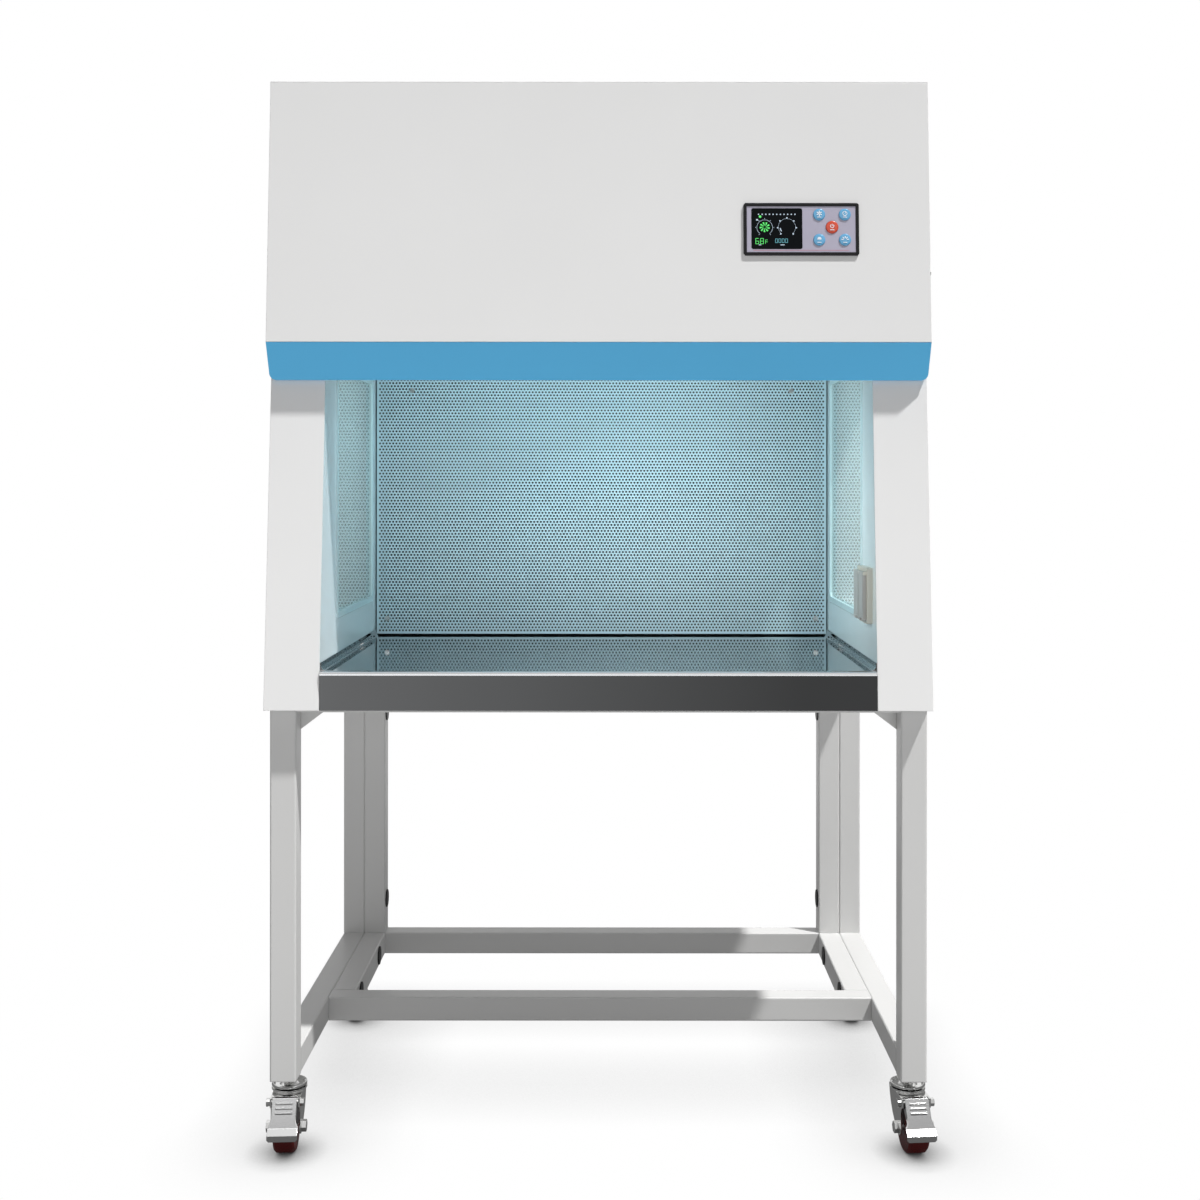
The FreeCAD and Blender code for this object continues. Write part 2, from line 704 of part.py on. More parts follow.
def pedal_outline():
    """Front view of the pedal: straight at the top, flaring to a wide toe with cut corners."""
    half, toe = PEDAL_WIDTH / 2, PEDAL_TOE_WIDTH / 2
    bottom = PEDAL_LOW[1]
    low, middle, high = PEDAL_FLARE
    waist = half + (toe - half) * PEDAL_FLARE_SHARE
    right = [V(toe - PEDAL_CORNER, 0, bottom), V(toe, 0, bottom + PEDAL_CORNER)]
    right += arc(V(toe, 0, low), V(waist, 0, middle), V(half, 0, high))
    right.append(V(half, 0, PEDAL_TOP[1] + PEDAL_SHEET))
    left = [V(-corner.x, 0, corner.z) for corner in reversed(right)]
    face = Part.Face(Part.makePolygon(right + left + right[:1]))
    face.translate(V(0, -3 * WHEEL_RADIUS, 0))
    return face.extrude(V(0, 3 * WHEEL_RADIUS, 0))


def pedal_ridge(drop):
    """One of the raised bars on the pedal, at a drop below its top edge."""
    share = drop / (PEDAL_TOP[1] - PEDAL_KNEE[1])
    y = PEDAL_TOP[0] + (PEDAL_KNEE[0] - PEDAL_TOP[0]) * share
    half = PEDAL_RIDGE_LENGTH / 2
    return hexagon("x", 2 * PEDAL_RIDGE_RADIUS, -half, half, y, PEDAL_TOP[1] - drop)


def brake_shoe():
    """Block behind the pedal, with a flat face just clear of the tread."""
    centre = V(0, -TRAIL, WHEEL_RADIUS)
    along = (V(0, *PEDAL_TOP) - V(0, *PEDAL_KNEE)).normalize()
    away = V(0, -along.z, along.y)
    plate = (V(0, *PEDAL_TOP) - centre).dot(away) - PEDAL_SHEET / 2
    corners = []
    face = WHEEL_RADIUS + SHOE_GAP
    for distance, side in ((face, -1), (face, 1), (plate, 1), (plate, -1)):
        corner = centre + away * distance + along * (side * SHOE_LENGTH / 2)
        corners.append((corner.y, corner.z))
    half = PEDAL_RIDGE_LENGTH / 2
    return prism(corners, "x", -half, half)


def brake_pedal():
    """Pressed pedal in front of the wheel, in its locked place."""
    path = [PEDAL_TOP, PEDAL_KNEE, PEDAL_TOE, PEDAL_LOW]
    plate = bent_sheet(path, "x", -PEDAL_TOE_WIDTH, PEDAL_TOE_WIDTH, PEDAL_SHEET).common(pedal_outline())
    ridges = [pedal_ridge(PEDAL_RIDGE_START + PEDAL_RIDGE_PITCH * i) for i in range(PEDAL_RIDGE_COUNT)]
    inner = PEDAL_FLANGE_GAP / 2
    outer = PEDAL_WIDTH / 2
    flange = join(prism(PEDAL_SIDE, "x", inner, outer),
                  many_sided("x", PIN_SIDES, PEDAL_EYE_RADIUS, inner, outer, *PEDAL_PIVOT))
    flange = flange.cut(cylinder("x", PEDAL_PIN_RADIUS + RUNNING_FIT, 0, outer + FIT, *PEDAL_PIVOT))
    return join(plate, flange, mirrored(flange), brake_shoe(), *ridges)


def caster_at(name, shapes):
    """Turns a caster's pieces to its rest angle and moves them under the stand."""
    side, end, turn, braked = CASTERS[name]
    x, y = caster_place(side, end)
    placed = []
    for shape in shapes:
        piece = shape.copy()
        piece.rotate(V(0, 0, 0), AXES["z"], turn)
        piece.translate(V(x, y, 0))
        placed.append(piece)
    return placed


# Cabinet walls

def window_box(x0, x1, grow):
    """The cut-out of the side window's recess, larger than the opening by a margin all round."""
    return clipped_box("x", x0, x1, WINDOW_FRONT - grow, WINDOW_FRONT + WINDOW_LENGTH + grow,
                       WINDOW_BOTTOM - grow, WINDOW_BOTTOM + WINDOW_HEIGHT + grow, WINDOW_CLIP)


def window_opening(x0, x1):
    return clipped_box("x", x0, x1, WINDOW_FRONT, WINDOW_FRONT + WINDOW_LENGTH,
                       WINDOW_BOTTOM, WINDOW_BOTTOM + WINDOW_HEIGHT, WINDOW_CLIP)


def side_panel():
    """Right outer skin, bent round the front as the pillar and inwards as the window's recess."""
    band_end = BAND_BOTTOM_Z + BAND_CORNER
    band_run = BAND_SLOPE_RUN / (BAND_TOP_Z - BAND_BOTTOM_Z)
    band_sheet = SHEET * math.hypot(1, band_run)
    head_sheet = SHEET / math.cos(math.radians(HEAD_LEAN))
    outline = [
        (pillar_y(SKIRT_BOTTOM), SKIRT_BOTTOM),
        (pillar_y(band_end), band_end),
        (HEAD_FRONT + (BAND_TOP_Z - band_end) * band_run + band_sheet, band_end),
        (HEAD_FRONT + band_sheet, BAND_TOP_Z),
        (head_y(ROOF_UNDERSIDE) + head_sheet, ROOF_UNDERSIDE),
        (REAR_INSIDE, ROOF_UNDERSIDE),
        (REAR_INSIDE, SKIRT_BOTTOM),
    ]
    skin = prism(outline, "x", SKIN_INSIDE, HALF_WIDTH)
    pillar_top = BAND_TOP_Z
    skirt_back = STAND_SETBACK - SKIRT_CLEARANCE
    face_path = [(pillar_y(pillar_top), pillar_top), (0, SKIRT_BOTTOM), (skirt_back, SKIRT_BOTTOM)]
    pillar = bent_sheet(face_path, "x", HALF_CHAMBER, SKIN_INSIDE)
    recess = window_box(HALF_CHAMBER + SHEET, SKIN_INSIDE, GASKET_RIM + SHEET)
    panel = join(skin, pillar, recess)
    return panel.cut(window_box(HALF_CHAMBER, HALF_WIDTH + SHEET, GASKET_RIM))


def liner():
    """Right inner wall of the chamber, from the pillar back to the rear panel."""
    outline = [
        (pillar_y(PAN_TOP) + pillar_sheet(), PAN_TOP),
        (pillar_y(CEILING_Z) + pillar_sheet(), CEILING_Z),
        (REAR_INSIDE, CEILING_Z),
        (REAR_INSIDE, PAN_TOP),
    ]
    wall = prism(outline, "x", HALF_CHAMBER, HALF_CHAMBER + SHEET)
    return wall.cut(window_box(HALF_CHAMBER - SHEET, HALF_CHAMBER + 2 * SHEET, GASKET_RIM))


def window_glass():
    """Flat pane with square corners, larger than the visible opening by its bite in the gasket."""
    glass_face = HALF_CHAMBER + GLASS_INSET
    low_y, low_z = WINDOW_FRONT - GLASS_BITE, WINDOW_BOTTOM - GLASS_BITE
    return box(glass_face, glass_face + GLASS_THICKNESS, low_y, low_y + WINDOW_LENGTH + 2 * GLASS_BITE,
               low_z, low_z + WINDOW_HEIGHT + 2 * GLASS_BITE)


def window_gasket():
    """Rubber frame in the recess, with a groove that holds the glass."""
    front = HALF_CHAMBER - GASKET_PROUD
    ring = window_box(front, front + GASKET_DEPTH, GASKET_RIM)
    ring = ring.cut(window_opening(front - SHEET, front + GASKET_DEPTH + SHEET))
    return ring.cut(window_glass())


def base_pan():
    """Floor of the cabinet on the stand's top rails, with ribs that carry the worktop."""
    pan = box(-SKIN_INSIDE, SKIN_INSIDE, PAN_FRONT, REAR_INSIDE, STAND_TOP, PAN_TOP)
    half = PAN_RIB_WIDTH / 2
    ribs = []
    for i in range(PAN_RIB_COUNT):
        x = (i - (PAN_RIB_COUNT - 1) / 2) * PAN_RIB_PITCH
        left, right = x - half, x + half
        path = [(right, PAN_TOP), (right, WORK_UNDERSIDE), (left, WORK_UNDERSIDE), (left, PAN_TOP)]
        ribs.append(bent_sheet(path, "y", PAN_FRONT + RETURN_DEPTH, REAR_INSIDE))
    return join(pan, *ribs)


def worktop():
    """Polished top with a rounded nose and hanging lip in front and a cove up each side wall."""
    nose = [(DIFFUSER_FRONT, WORK_Z), (LIP_FRONT, WORK_Z), (LIP_FRONT, SKIRT_BOTTOM),
            (LIP_FRONT + LIP_RETURN, SKIRT_BOTTOM)]
    reach = HALF_CHAMBER - FIT
    top = bent_sheet(nose, "x", -reach, reach)
    top = round_bends(top, "x", [
        (LIP_FRONT, WORK_Z, NOSE_RADIUS),
        (LIP_FRONT + SHEET, WORK_UNDERSIDE, NOSE_RADIUS - SHEET),
    ])
    top = join(top, box(-reach, reach, DIFFUSER_FRONT - SHEET, FILTER_FRONT, WORK_UNDERSIDE, WORK_Z))
    start = pillar_y(WORK_Z + COVE_HEIGHT) + pillar_sheet()
    end = DIFFUSER_FRONT
    centre = (reach - SHEET - COVE_RADIUS, WORK_Z + COVE_RADIUS)
    cove = prism(rectangle(reach - COVE_RADIUS, reach, WORK_Z, WORK_Z + COVE_HEIGHT), "y", start, end)
    hollow = cylinder("y", COVE_RADIUS, start, end, *centre)
    above = rectangle(reach - 3 * COVE_RADIUS, reach - SHEET, centre[1], WORK_Z + COVE_HEIGHT + SHEET)
    above = prism(above, "y", start, end)
    cove = cove.cut(hollow).cut(above)
    return join(top, cove, mirrored(cove))


def rear_panel():
    """Flat back of the cabinet, with the cut-out for the mains inlet."""
    panel = box(-HALF_WIDTH, HALF_WIDTH, REAR_INSIDE, CABINET_DEPTH, SKIRT_BOTTOM, ROOF_UNDERSIDE)
    half_w = POWER_INLET_WIDTH / 2 - POWER_INLET_LAP
    half_h = POWER_INLET_HEIGHT / 2 - POWER_INLET_LAP
    panel = panel.cut(box(POWER_INLET_X - half_w, POWER_INLET_X + half_w, REAR_INSIDE - SHEET,
                          CABINET_DEPTH + SHEET, POWER_INLET_Z - half_h, POWER_INLET_Z + half_h))
    start, end = REAR_INSIDE - SHEET, CABINET_DEPTH + SHEET
    for x, z in rear_screw_places():
        panel = panel.cut(bolt_hole("y", SCREW_SHANK_RADIUS, start, end, x, z))
    return panel


def ceiling_panel():
    """Ceiling of the chamber and deck under the blower, turned down in front behind the band."""
    reach = HALF_CHAMBER - FIT
    path = [(REAR_INSIDE, CEILING_Z), (pillar_y(CEILING_Z) + pillar_sheet(), CEILING_Z),
            (pillar_y(BAND_BOTTOM_Z) + pillar_sheet(), BAND_BOTTOM_Z)]
    ceiling = prism(path + offset_path(path, -SHEET)[::-1], "x", -reach, reach)
    front = pillar_y(DECK_TOP) + pillar_sheet()
    deck = box(-SKIN_INSIDE, SKIN_INSIDE, front, REAR_INSIDE, CEILING_Z, DECK_TOP)
    half = SCROLL_WIDTH / 2 - SCROLL_WALL
    outlet = box(-half, half, BLOWER_CENTRE_Y + SCROLL_START, BLOWER_CENTRE_Y + SCROLL_END - SCROLL_WALL,
                 CEILING_Z - SHEET, DECK_TOP + SHEET)
    return join(ceiling, deck).cut(outlet)


# Head

def head_front_panel():
    """Sloping front with a return down each side and along the top, and the control cut-out."""
    low = BAND_TOP_Z + PANEL_JOINT
    high = ROOF_UNDERSIDE
    path = [(head_y(high) + RETURN_DEPTH, high), (head_y(high), high), (head_y(low), low)]
    panel = bent_sheet(path, "x", -SKIN_INSIDE, SKIN_INSIDE)
    face = bent_sheet(path[1:], "x", -HALF_WIDTH, HALF_WIDTH)
    side = [path[2], path[1], (path[1][0] + RETURN_DEPTH, path[1][1]), (path[2][0] + RETURN_DEPTH, low)]
    flange = prism(side, "x", SKIN_INSIDE - SHEET, SKIN_INSIDE)
    panel = join(panel, face, flange, mirrored(flange))
    half_w, half_h = sleeve_half_sizes(FIT)
    hole = box(-half_w, half_w, -RETURN_DEPTH, RETURN_DEPTH, -half_h, half_h)
    screw_hole = bolt_hole("x", SCREW_SHANK_RADIUS, HALF_CHAMBER, HALF_WIDTH, *side_screw_place())
    return panel.cut(on_head(hole)).cut(screw_hole)


def trim_band():
    """Coloured band under the head's front, sloping back to a short hem, with rounded ends."""
    hem = pillar_y(BAND_BOTTOM_Z) - FIT
    path = [(hem, BAND_BOTTOM_Z), (BAND_BOTTOM_Y, BAND_BOTTOM_Z), (HEAD_FRONT, BAND_TOP_Z)]
    band = prism(path + offset_path(path, -SHEET)[::-1], "x", -HALF_WIDTH, HALF_WIDTH)
    window = prism(rectangle(-HALF_WIDTH, HALF_WIDTH, BAND_BOTTOM_Z - CLOSE, BAND_TOP_Z + SHEET), "y", 0,
                   CABINET_DEPTH)
    window = round_bends(window, "y", [(-HALF_WIDTH, BAND_BOTTOM_Z - CLOSE, BAND_CORNER),
                                       (HALF_WIDTH, BAND_BOTTOM_Z - CLOSE, BAND_CORNER)])
    return band.common(window)


def inlet_half_sizes():
    half_x = (INLET_COLUMNS - 1) / 2 * INLET_COLUMN_PITCH + INLET_SLOT_LENGTH / 2
    half_y = (INLET_ROWS - 1) / 2 * INLET_ROW_PITCH + INLET_SLOT_WIDTH / 2
    return half_x, half_y


def top_panel():
    """Roof with rows of air slots over the prefilter."""
    roof = box(-HALF_WIDTH, HALF_WIDTH, head_y(ROOF_UNDERSIDE), CABINET_DEPTH, ROOF_UNDERSIDE, CABINET_TOP)
    slots = []
    half_l, half_w = INLET_SLOT_LENGTH / 2, INLET_SLOT_WIDTH / 2
    for column in range(INLET_COLUMNS):
        x = (column - (INLET_COLUMNS - 1) / 2) * INLET_COLUMN_PITCH
        for row in range(INLET_ROWS):
            y = INLET_CENTRE_Y + (row - (INLET_ROWS - 1) / 2) * INLET_ROW_PITCH
            straight = half_l - half_w
            outline = [(x - half_l, y), (x - straight, y - half_w), (x + straight, y - half_w),
                       (x + half_l, y), (x + straight, y + half_w), (x - straight, y + half_w)]
            slots.append(prism(outline, "z", ROOF_UNDERSIDE - SHEET, CABINET_TOP + SHEET))
    return roof.cut(Part.makeCompound(slots))


def prefilter():
    """Washable filter pad in a shallow tray that hangs under the roof slots."""
    half_x, half_y = inlet_half_sizes()
    half_x += PREFILTER_MARGIN
    half_y += PREFILTER_MARGIN
    bottom = ROOF_UNDERSIDE - PREFILTER_HEIGHT
    return box(-half_x, half_x, INLET_CENTRE_Y - half_y, INLET_CENTRE_Y + half_y, bottom, ROOF_UNDERSIDE)


# Air path behind the chamber

def diffuser_plate():
    """Front of the air wall, with returns that reach back to the filter."""
    reach = HALF_CHAMBER - DIFFUSER_GAP
    bottom = WORK_Z + DIFFUSER_FLOOR_GAP
    top = CEILING_Z - SHEET
    tray = box(-reach, reach, DIFFUSER_FRONT, FILTER_FRONT, bottom, top)
    inside = box(SHEET - reach, reach - SHEET, DIFFUSER_FRONT + SHEET, FILTER_FRONT + SHEET, bottom + SHEET,
                 top - SHEET)
    tray = tray.cut(inside)
    for x, z in diffuser_screw_places():
        hole = bolt_hole("y", SCREW_SHANK_RADIUS, DIFFUSER_FRONT - SHEET, DIFFUSER_FRONT + 2 * SHEET, x, z)
        tray = tray.cut(hole)
    return tray


def hepa_filter():
    """Deep filter cassette: a rim with a folded sheet of medium inside it."""
    reach = HALF_CHAMBER - FIT
    bottom, top = WORK_UNDERSIDE, CEILING_Z
    rim = box(-reach, reach, FILTER_FRONT, FILTER_REAR, bottom, top)
    inner = reach - FILTER_RIM
    low, high = bottom + FILTER_RIM, top - FILTER_RIM
    rim = rim.cut(box(-inner, inner, FILTER_FRONT - SHEET, FILTER_REAR + SHEET, low, high))
    step = (high - low) / PLEAT_COUNT
    near, far = FILTER_FRONT + PLEAT_INSET, FILTER_REAR - PLEAT_INSET - PLEAT_THICKNESS
    zigzag = [(near if i % 2 else far, low + i * step) for i in range(PLEAT_COUNT + 1)]
    back = [(y + PLEAT_THICKNESS, z) for y, z in zigzag[::-1]]
    return [rim, prism(zigzag + back, "x", -inner, inner)]


def diffuser_screw_places():
    """(x, z) of the screws near the corners of the diffuser."""
    low_x, high_x = HALF_CHAMBER - LOW_SCREW_INSET, HALF_CHAMBER - HIGH_SCREW_INSET
    low_z, high_z = WORK_Z + LOW_SCREW_RISE, CEILING_Z - HIGH_SCREW_DROP
    return [(-low_x, low_z), (low_x, low_z), (-high_x, high_z), (high_x, high_z)]


def screw(axis, seat, outward, a, b):
    """Sheet screw through a face at its seat, with the head on the outward side (1 or -1)."""
    head = sorted((seat, seat + outward * SCREW_HEAD_HEIGHT))
    shank = sorted((seat, seat - outward * SCREW_LENGTH))
    return join(hexagon(axis, 2 * SCREW_HEAD_RADIUS, *head, a, b),
                hexagon(axis, 2 * SCREW_SHANK_RADIUS, *shank, a, b))


def diffuser_screws():
    return [screw("y", DIFFUSER_FRONT, -1, x, z) for x, z in diffuser_screw_places()]


def side_screw_place():
    """(y, z) of the screw through the right side of the head."""
    return head_y(SIDE_SCREW_Z) + SIDE_SCREW_SETBACK, SIDE_SCREW_Z


def rear_screw_places():
    low, high = SKIRT_BOTTOM + REAR_SCREW_MARGIN, ROOF_UNDERSIDE - REAR_SCREW_MARGIN
    heights = [low + (high - low) * i / (REAR_SCREW_ROWS - 1) for i in range(REAR_SCREW_ROWS)]
    x = HALF_WIDTH - REAR_SCREW_MARGIN
    return [(side * x, z) for side in (-1, 1) for z in heights]


def panel_screws():
    """Screws down both edges of the rear panel and one in the right side of the head."""
    rear = [screw("y", CABINET_DEPTH, 1, x, z) for x, z in rear_screw_places()]
    return rear + [screw("x", HALF_WIDTH, 1, *side_screw_place())]


# Blower

def scroll_outline(extra):
    """(y, z) outline of the scroll and its downward outlet, grown outwards by a wall."""
    points = []
    for i in range(SCROLL_STEPS + 1):
        part = i / SCROLL_STEPS
        angle = math.radians(SCROLL_START_ANGLE - SCROLL_SWEEP * part)
        radius = SCROLL_START + SCROLL_GROWTH * part + extra
        across, up = radius * math.cos(angle), radius * math.sin(angle)
        points.append((BLOWER_CENTRE_Y + across, BLOWER_CENTRE_Z + up))
    outlet_back = BLOWER_CENTRE_Y + SCROLL_END + extra
    outlet_front = BLOWER_CENTRE_Y + SCROLL_START - extra
    return points + [(outlet_back, DECK_TOP), (outlet_front, DECK_TOP),
                     (outlet_front, BLOWER_CENTRE_Z - TONGUE_DROP)]


def blower_housing():
    """Sheet scroll with the inlet on the left, the shaft hole on the right and an outlet flange."""
    half = SCROLL_WIDTH / 2
    inner = half - SCROLL_WALL
    shell = prism(scroll_outline(0), "x", -half, half)
    air = prism(scroll_outline(-SCROLL_WALL), "x", -inner, inner)
    front = BLOWER_CENTRE_Y + SCROLL_START
    back = BLOWER_CENTRE_Y + SCROLL_END - SCROLL_WALL
    flange = box(-half - OUTLET_FLANGE, half + OUTLET_FLANGE, front - OUTLET_FLANGE, REAR_INSIDE,
                 DECK_TOP, DECK_TOP + SCROLL_WALL)
    outlet = box(-inner, inner, front + SCROLL_WALL, back, DECK_TOP - SHEET, DECK_TOP + 2 * SCROLL_WALL)
    centre = (BLOWER_CENTRE_Y, BLOWER_CENTRE_Z)
    housing = join(shell, flange).cut(air).cut(outlet)
    eye = many_sided("x", ROUND_SIDES, INLET_RADIUS, -half - SHEET, SHEET - inner, *centre)
    housing = housing.cut(eye)
    return housing.cut(many_sided("x", PIN_SIDES, HUB_HOLE_RADIUS, inner - SHEET, half + SHEET, *centre))


def blower_motor():
    """Motor on the right side of the scroll, on a round flange."""
    half = SCROLL_WIDTH / 2
    centre = (BLOWER_CENTRE_Y, BLOWER_CENTRE_Z)
    rim = MOTOR_RADIUS + MOTOR_FLANGE
    flange = many_sided("x", ROUND_SIDES, rim, half, half + 3 * SCROLL_WALL, *centre)
    body = many_sided("x", ROUND_SIDES, MOTOR_RADIUS, half, half + MOTOR_LENGTH, *centre)
    return join(flange, body).cut(bore("x", SHAFT_RADIUS, half - SHEET, half + MOTOR_BORE_DEPTH, *centre))


def impeller_blade():
    """One forward-curved blade near the +y side of an impeller that turns about X at the origin."""
    tip, root = IMPELLER_RADIUS - SHEET, IMPELLER_RADIUS - BLADE_CHORD
    back = [(root, 0), ((tip + root) / 2, BLADE_HOOK * 0.2), (tip, BLADE_HOOK)]
    return bent_sheet(back, "x", 0, IMPELLER_WIDTH, BLADE_THICKNESS)


def blower_impeller():
    """Squirrel-cage wheel: a ring of blades between a front ring and a back disc on the shaft."""
    half = SCROLL_WIDTH / 2
    left = -IMPELLER_WIDTH / 2
    right = IMPELLER_WIDTH / 2
    root = IMPELLER_RADIUS - BLADE_CHORD
    back = many_sided("x", ROUND_SIDES, IMPELLER_RADIUS, right - SCROLL_WALL, right, 0, 0)
    ring = many_sided("x", ROUND_SIDES, IMPELLER_RADIUS, left, left + SCROLL_WALL, 0, 0)
    ring = ring.cut(many_sided("x", ROUND_SIDES, root, left - SHEET, left + 2 * SCROLL_WALL, 0, 0))
    hub = many_sided("x", PIN_SIDES, HUB_RADIUS, right - HUB_LENGTH, right, 0, 0)
    axle = cylinder("x", SHAFT_RADIUS, right, half + SHAFT_REACH, 0, 0)
    blade = impeller_blade()
    blade.translate(V(left, 0, 0))
    blades = []
    for i in range(BLADE_COUNT):
        copy = blade.copy()
        copy.rotate(V(0, 0, 0), AXES["x"], 360.0 / BLADE_COUNT * i)
        blades.append(copy)
    wheel = back.multiFuse([ring, hub, axle] + blades)
    wheel.translate(V(0, BLOWER_CENTRE_Y, BLOWER_CENTRE_Z))
    return wheel


# Lamps

def lamp(radius, y):
    """A lamp tube with a pin at each end."""
    z = CEILING_Z - LAMP_DROP
    half = LAMP_LENGTH / 2
    tube_body = many_sided("x", PIN_SIDES, radius, -half, half, y, z)
    pins = hexagon("x", 2 * LAMP_PIN_RADIUS, -half - HOLDER_LENGTH / 2, half + HOLDER_LENGTH / 2, y, z)
    return join(tube_body, pins)


def lamp_holders():
    """Four sockets on the ceiling, one at each end of each lamp."""
    holders = []
    z = CEILING_Z - LAMP_DROP
    for y in (LIGHT_TUBE_Y, UV_TUBE_Y):
        start = LAMP_LENGTH / 2 + FIT
        half = HOLDER_WIDTH / 2
        outline = [(y - half, CEILING_Z), (y - half, z), (y - half / 2, z - half),
                   (y + half / 2, z - half), (y + half, z), (y + half, CEILING_Z)]
        holder = prism(outline, "x", start, start + HOLDER_LENGTH)
        holder = holder.cut(bolt_hole("x", LAMP_PIN_RADIUS, 0, start + HOLDER_LENGTH / 2 + SHEET, y, z))
        holders += [holder, mirrored(holder)]
    return holders


# Control module, drawn flat with its face towards -y and then laid on the sloping head

def on_head(shape):
    piece = shape.copy()
    piece.rotate(V(0, 0, 0), AXES["x"], -HEAD_LEAN)
    piece.translate(V(CONTROL_X, head_y(CONTROL_Z), CONTROL_Z))
    return piece


def sleeve_half_sizes(grow):
    """Half width and half height of the module's sleeve, outside."""
    return CONTROL_WIDTH / 2 - CONTROL_RIM + SHEET + grow, CONTROL_HEIGHT / 2 - CONTROL_RIM + SHEET + grow


def field_box(y0, y1, gap):
    """The inside of the module's frame, smaller by a gap all round."""
    half_w = CONTROL_WIDTH / 2 - CONTROL_RIM - gap
    half_h = CONTROL_HEIGHT / 2 - CONTROL_RIM - gap
    return box(-half_w, half_w, y0, y1, -half_h, half_h)


def control_bezel():
    """Black frame on the panel, with a sleeve through the cut-out."""
    half_w, half_h = CONTROL_WIDTH / 2, CONTROL_HEIGHT / 2
    frame = clipped_box("y", -CONTROL_PROUD, 0, -half_w, half_w, -half_h, half_h, CONTROL_CORNER)
    half_w, half_h = sleeve_half_sizes(0)
    sleeve = box(-half_w, half_w, 0, CONTROL_SLEEVE_DEPTH, -half_h, half_h)
    return join(frame, sleeve).cut(field_box(-RETURN_DEPTH, 2 * CONTROL_SLEEVE_DEPTH, 0))


def screen_box(y0, y1, gap):
    right, top = SCREEN_LEFT + SCREEN_WIDTH, SCREEN_BOTTOM + SCREEN_HEIGHT
    return clipped_box("y", y0, y1, SCREEN_LEFT - gap, right + gap, SCREEN_BOTTOM - gap, top + gap,
                       SCREEN_CORNER)


def keypad_front():
    return -CONTROL_PROUD + KEYPAD_RECESS


def keypad_back():
    return keypad_front() + SHEET


def keypad_plate():
    """Face plate with the screen's window and a hole for each key."""
    plate = field_box(keypad_front(), keypad_back(), FIT)
    plate = plate.cut(screen_box(keypad_front() - SHEET, keypad_back() + SHEET, FIT))
    for x, z, radius in KEYS.values():
        plate = plate.cut(many_sided("y", ROUND_SIDES, radius + FIT, keypad_front() - SHEET,
                                     keypad_back() + SHEET, x, z))
    return plate


def display_screen():
    return screen_box(keypad_front() - FIT, board_front() - FIT, 0)


def board_front():
    """The control board lies behind the keys, just past the end of their travel."""
    return keypad_back() + FIT + KEY_FLANGE + KEY_TRAVEL + FIT


def control_board():
    return field_box(board_front(), board_front() + BOARD_THICKNESS, FIT)


def key(x, z, radius):
    """Round key with a flange that keeps it behind the face plate."""
    back = keypad_back() + FIT
    cap = many_sided("y", ROUND_SIDES, radius, keypad_front() - KEY_PROUD, back, x, z)
    return join(cap, many_sided("y", PIN_SIDES, radius + KEY_FLANGE, back, back + KEY_FLANGE, x, z))


# Socket on the right wall

def socket_centres():
    middle = SOCKET_FRONT + SOCKET_LENGTH / 2
    return middle - SOCKET_PITCH / 2, middle + SOCKET_PITCH / 2


def cover_hinge():
    """(x, z) of the covers' hinge line."""
    x = HALF_CHAMBER - SOCKET_THICKNESS - FIT - COVER_BARREL_RADIUS
    return x, SOCKET_BOTTOM + SOCKET_HEIGHT - COVER_HINGE_DROP


def back_box(x0, x1, gap):
    """The part of the socket behind the wall, or with a gap the hole for it."""
    margin = SOCKET_MARGIN - gap
    return box(x0, x1, SOCKET_FRONT + margin, SOCKET_FRONT + SOCKET_LENGTH - margin,
               SOCKET_BOTTOM + margin, SOCKET_BOTTOM + SOCKET_HEIGHT - margin)


def socket_box():
    """Double socket: a face plate on the wall, a box behind it, and ears with pins for the covers."""
    face = HALF_CHAMBER - SOCKET_THICKNESS
    rear, top = SOCKET_FRONT + SOCKET_LENGTH, SOCKET_BOTTOM + SOCKET_HEIGHT
    body = join(
        clipped_box("x", face, HALF_CHAMBER, SOCKET_FRONT, rear, SOCKET_BOTTOM, top, SOCKET_CORNER),
        back_box(HALF_CHAMBER, HALF_CHAMBER + SOCKET_BOX_DEPTH, 0),
    )
    hinge_x, hinge_z = cover_hinge()
    middle_z = SOCKET_BOTTOM + SOCKET_HEIGHT / 2 - SOCKET_HOLE_DROP
    pieces = [body]
    half = COVER_BARREL_RADIUS
    for y in socket_centres():
        ear = COVER_WIDTH / 2 + FIT
        for side in (-1, 1):
            start, end = sorted((y + side * ear, y + side * (ear + COVER_EAR)))
            pieces.append(box(hinge_x - half, face, start, end, hinge_z - half, hinge_z + half))
        pieces.append(shaft("y", COVER_PIN_RADIUS, y - ear, y + ear, hinge_x, hinge_z))
    whole = join(*pieces)
    half_w, half_h = SOCKET_HOLE_WIDTH / 2, SOCKET_HOLE_HEIGHT / 2
    for y in socket_centres():
        whole = whole.cut(many_sided("x", ROUND_SIDES, SOCKET_RECESS_RADIUS, face - SHEET,
                                     face + SOCKET_RECESS_DEPTH, y, middle_z))
        for turn in (90, 210, 330):
            hole_y = y + SOCKET_HOLE_SPREAD * math.cos(math.radians(turn))
            hole_z = middle_z + SOCKET_HOLE_SPREAD * math.sin(math.radians(turn))
            whole = whole.cut(box(face, face + 2 * SOCKET_RECESS_DEPTH, hole_y - half_w, hole_y + half_w,
                                  hole_z - half_h, hole_z + half_h))
    return whole


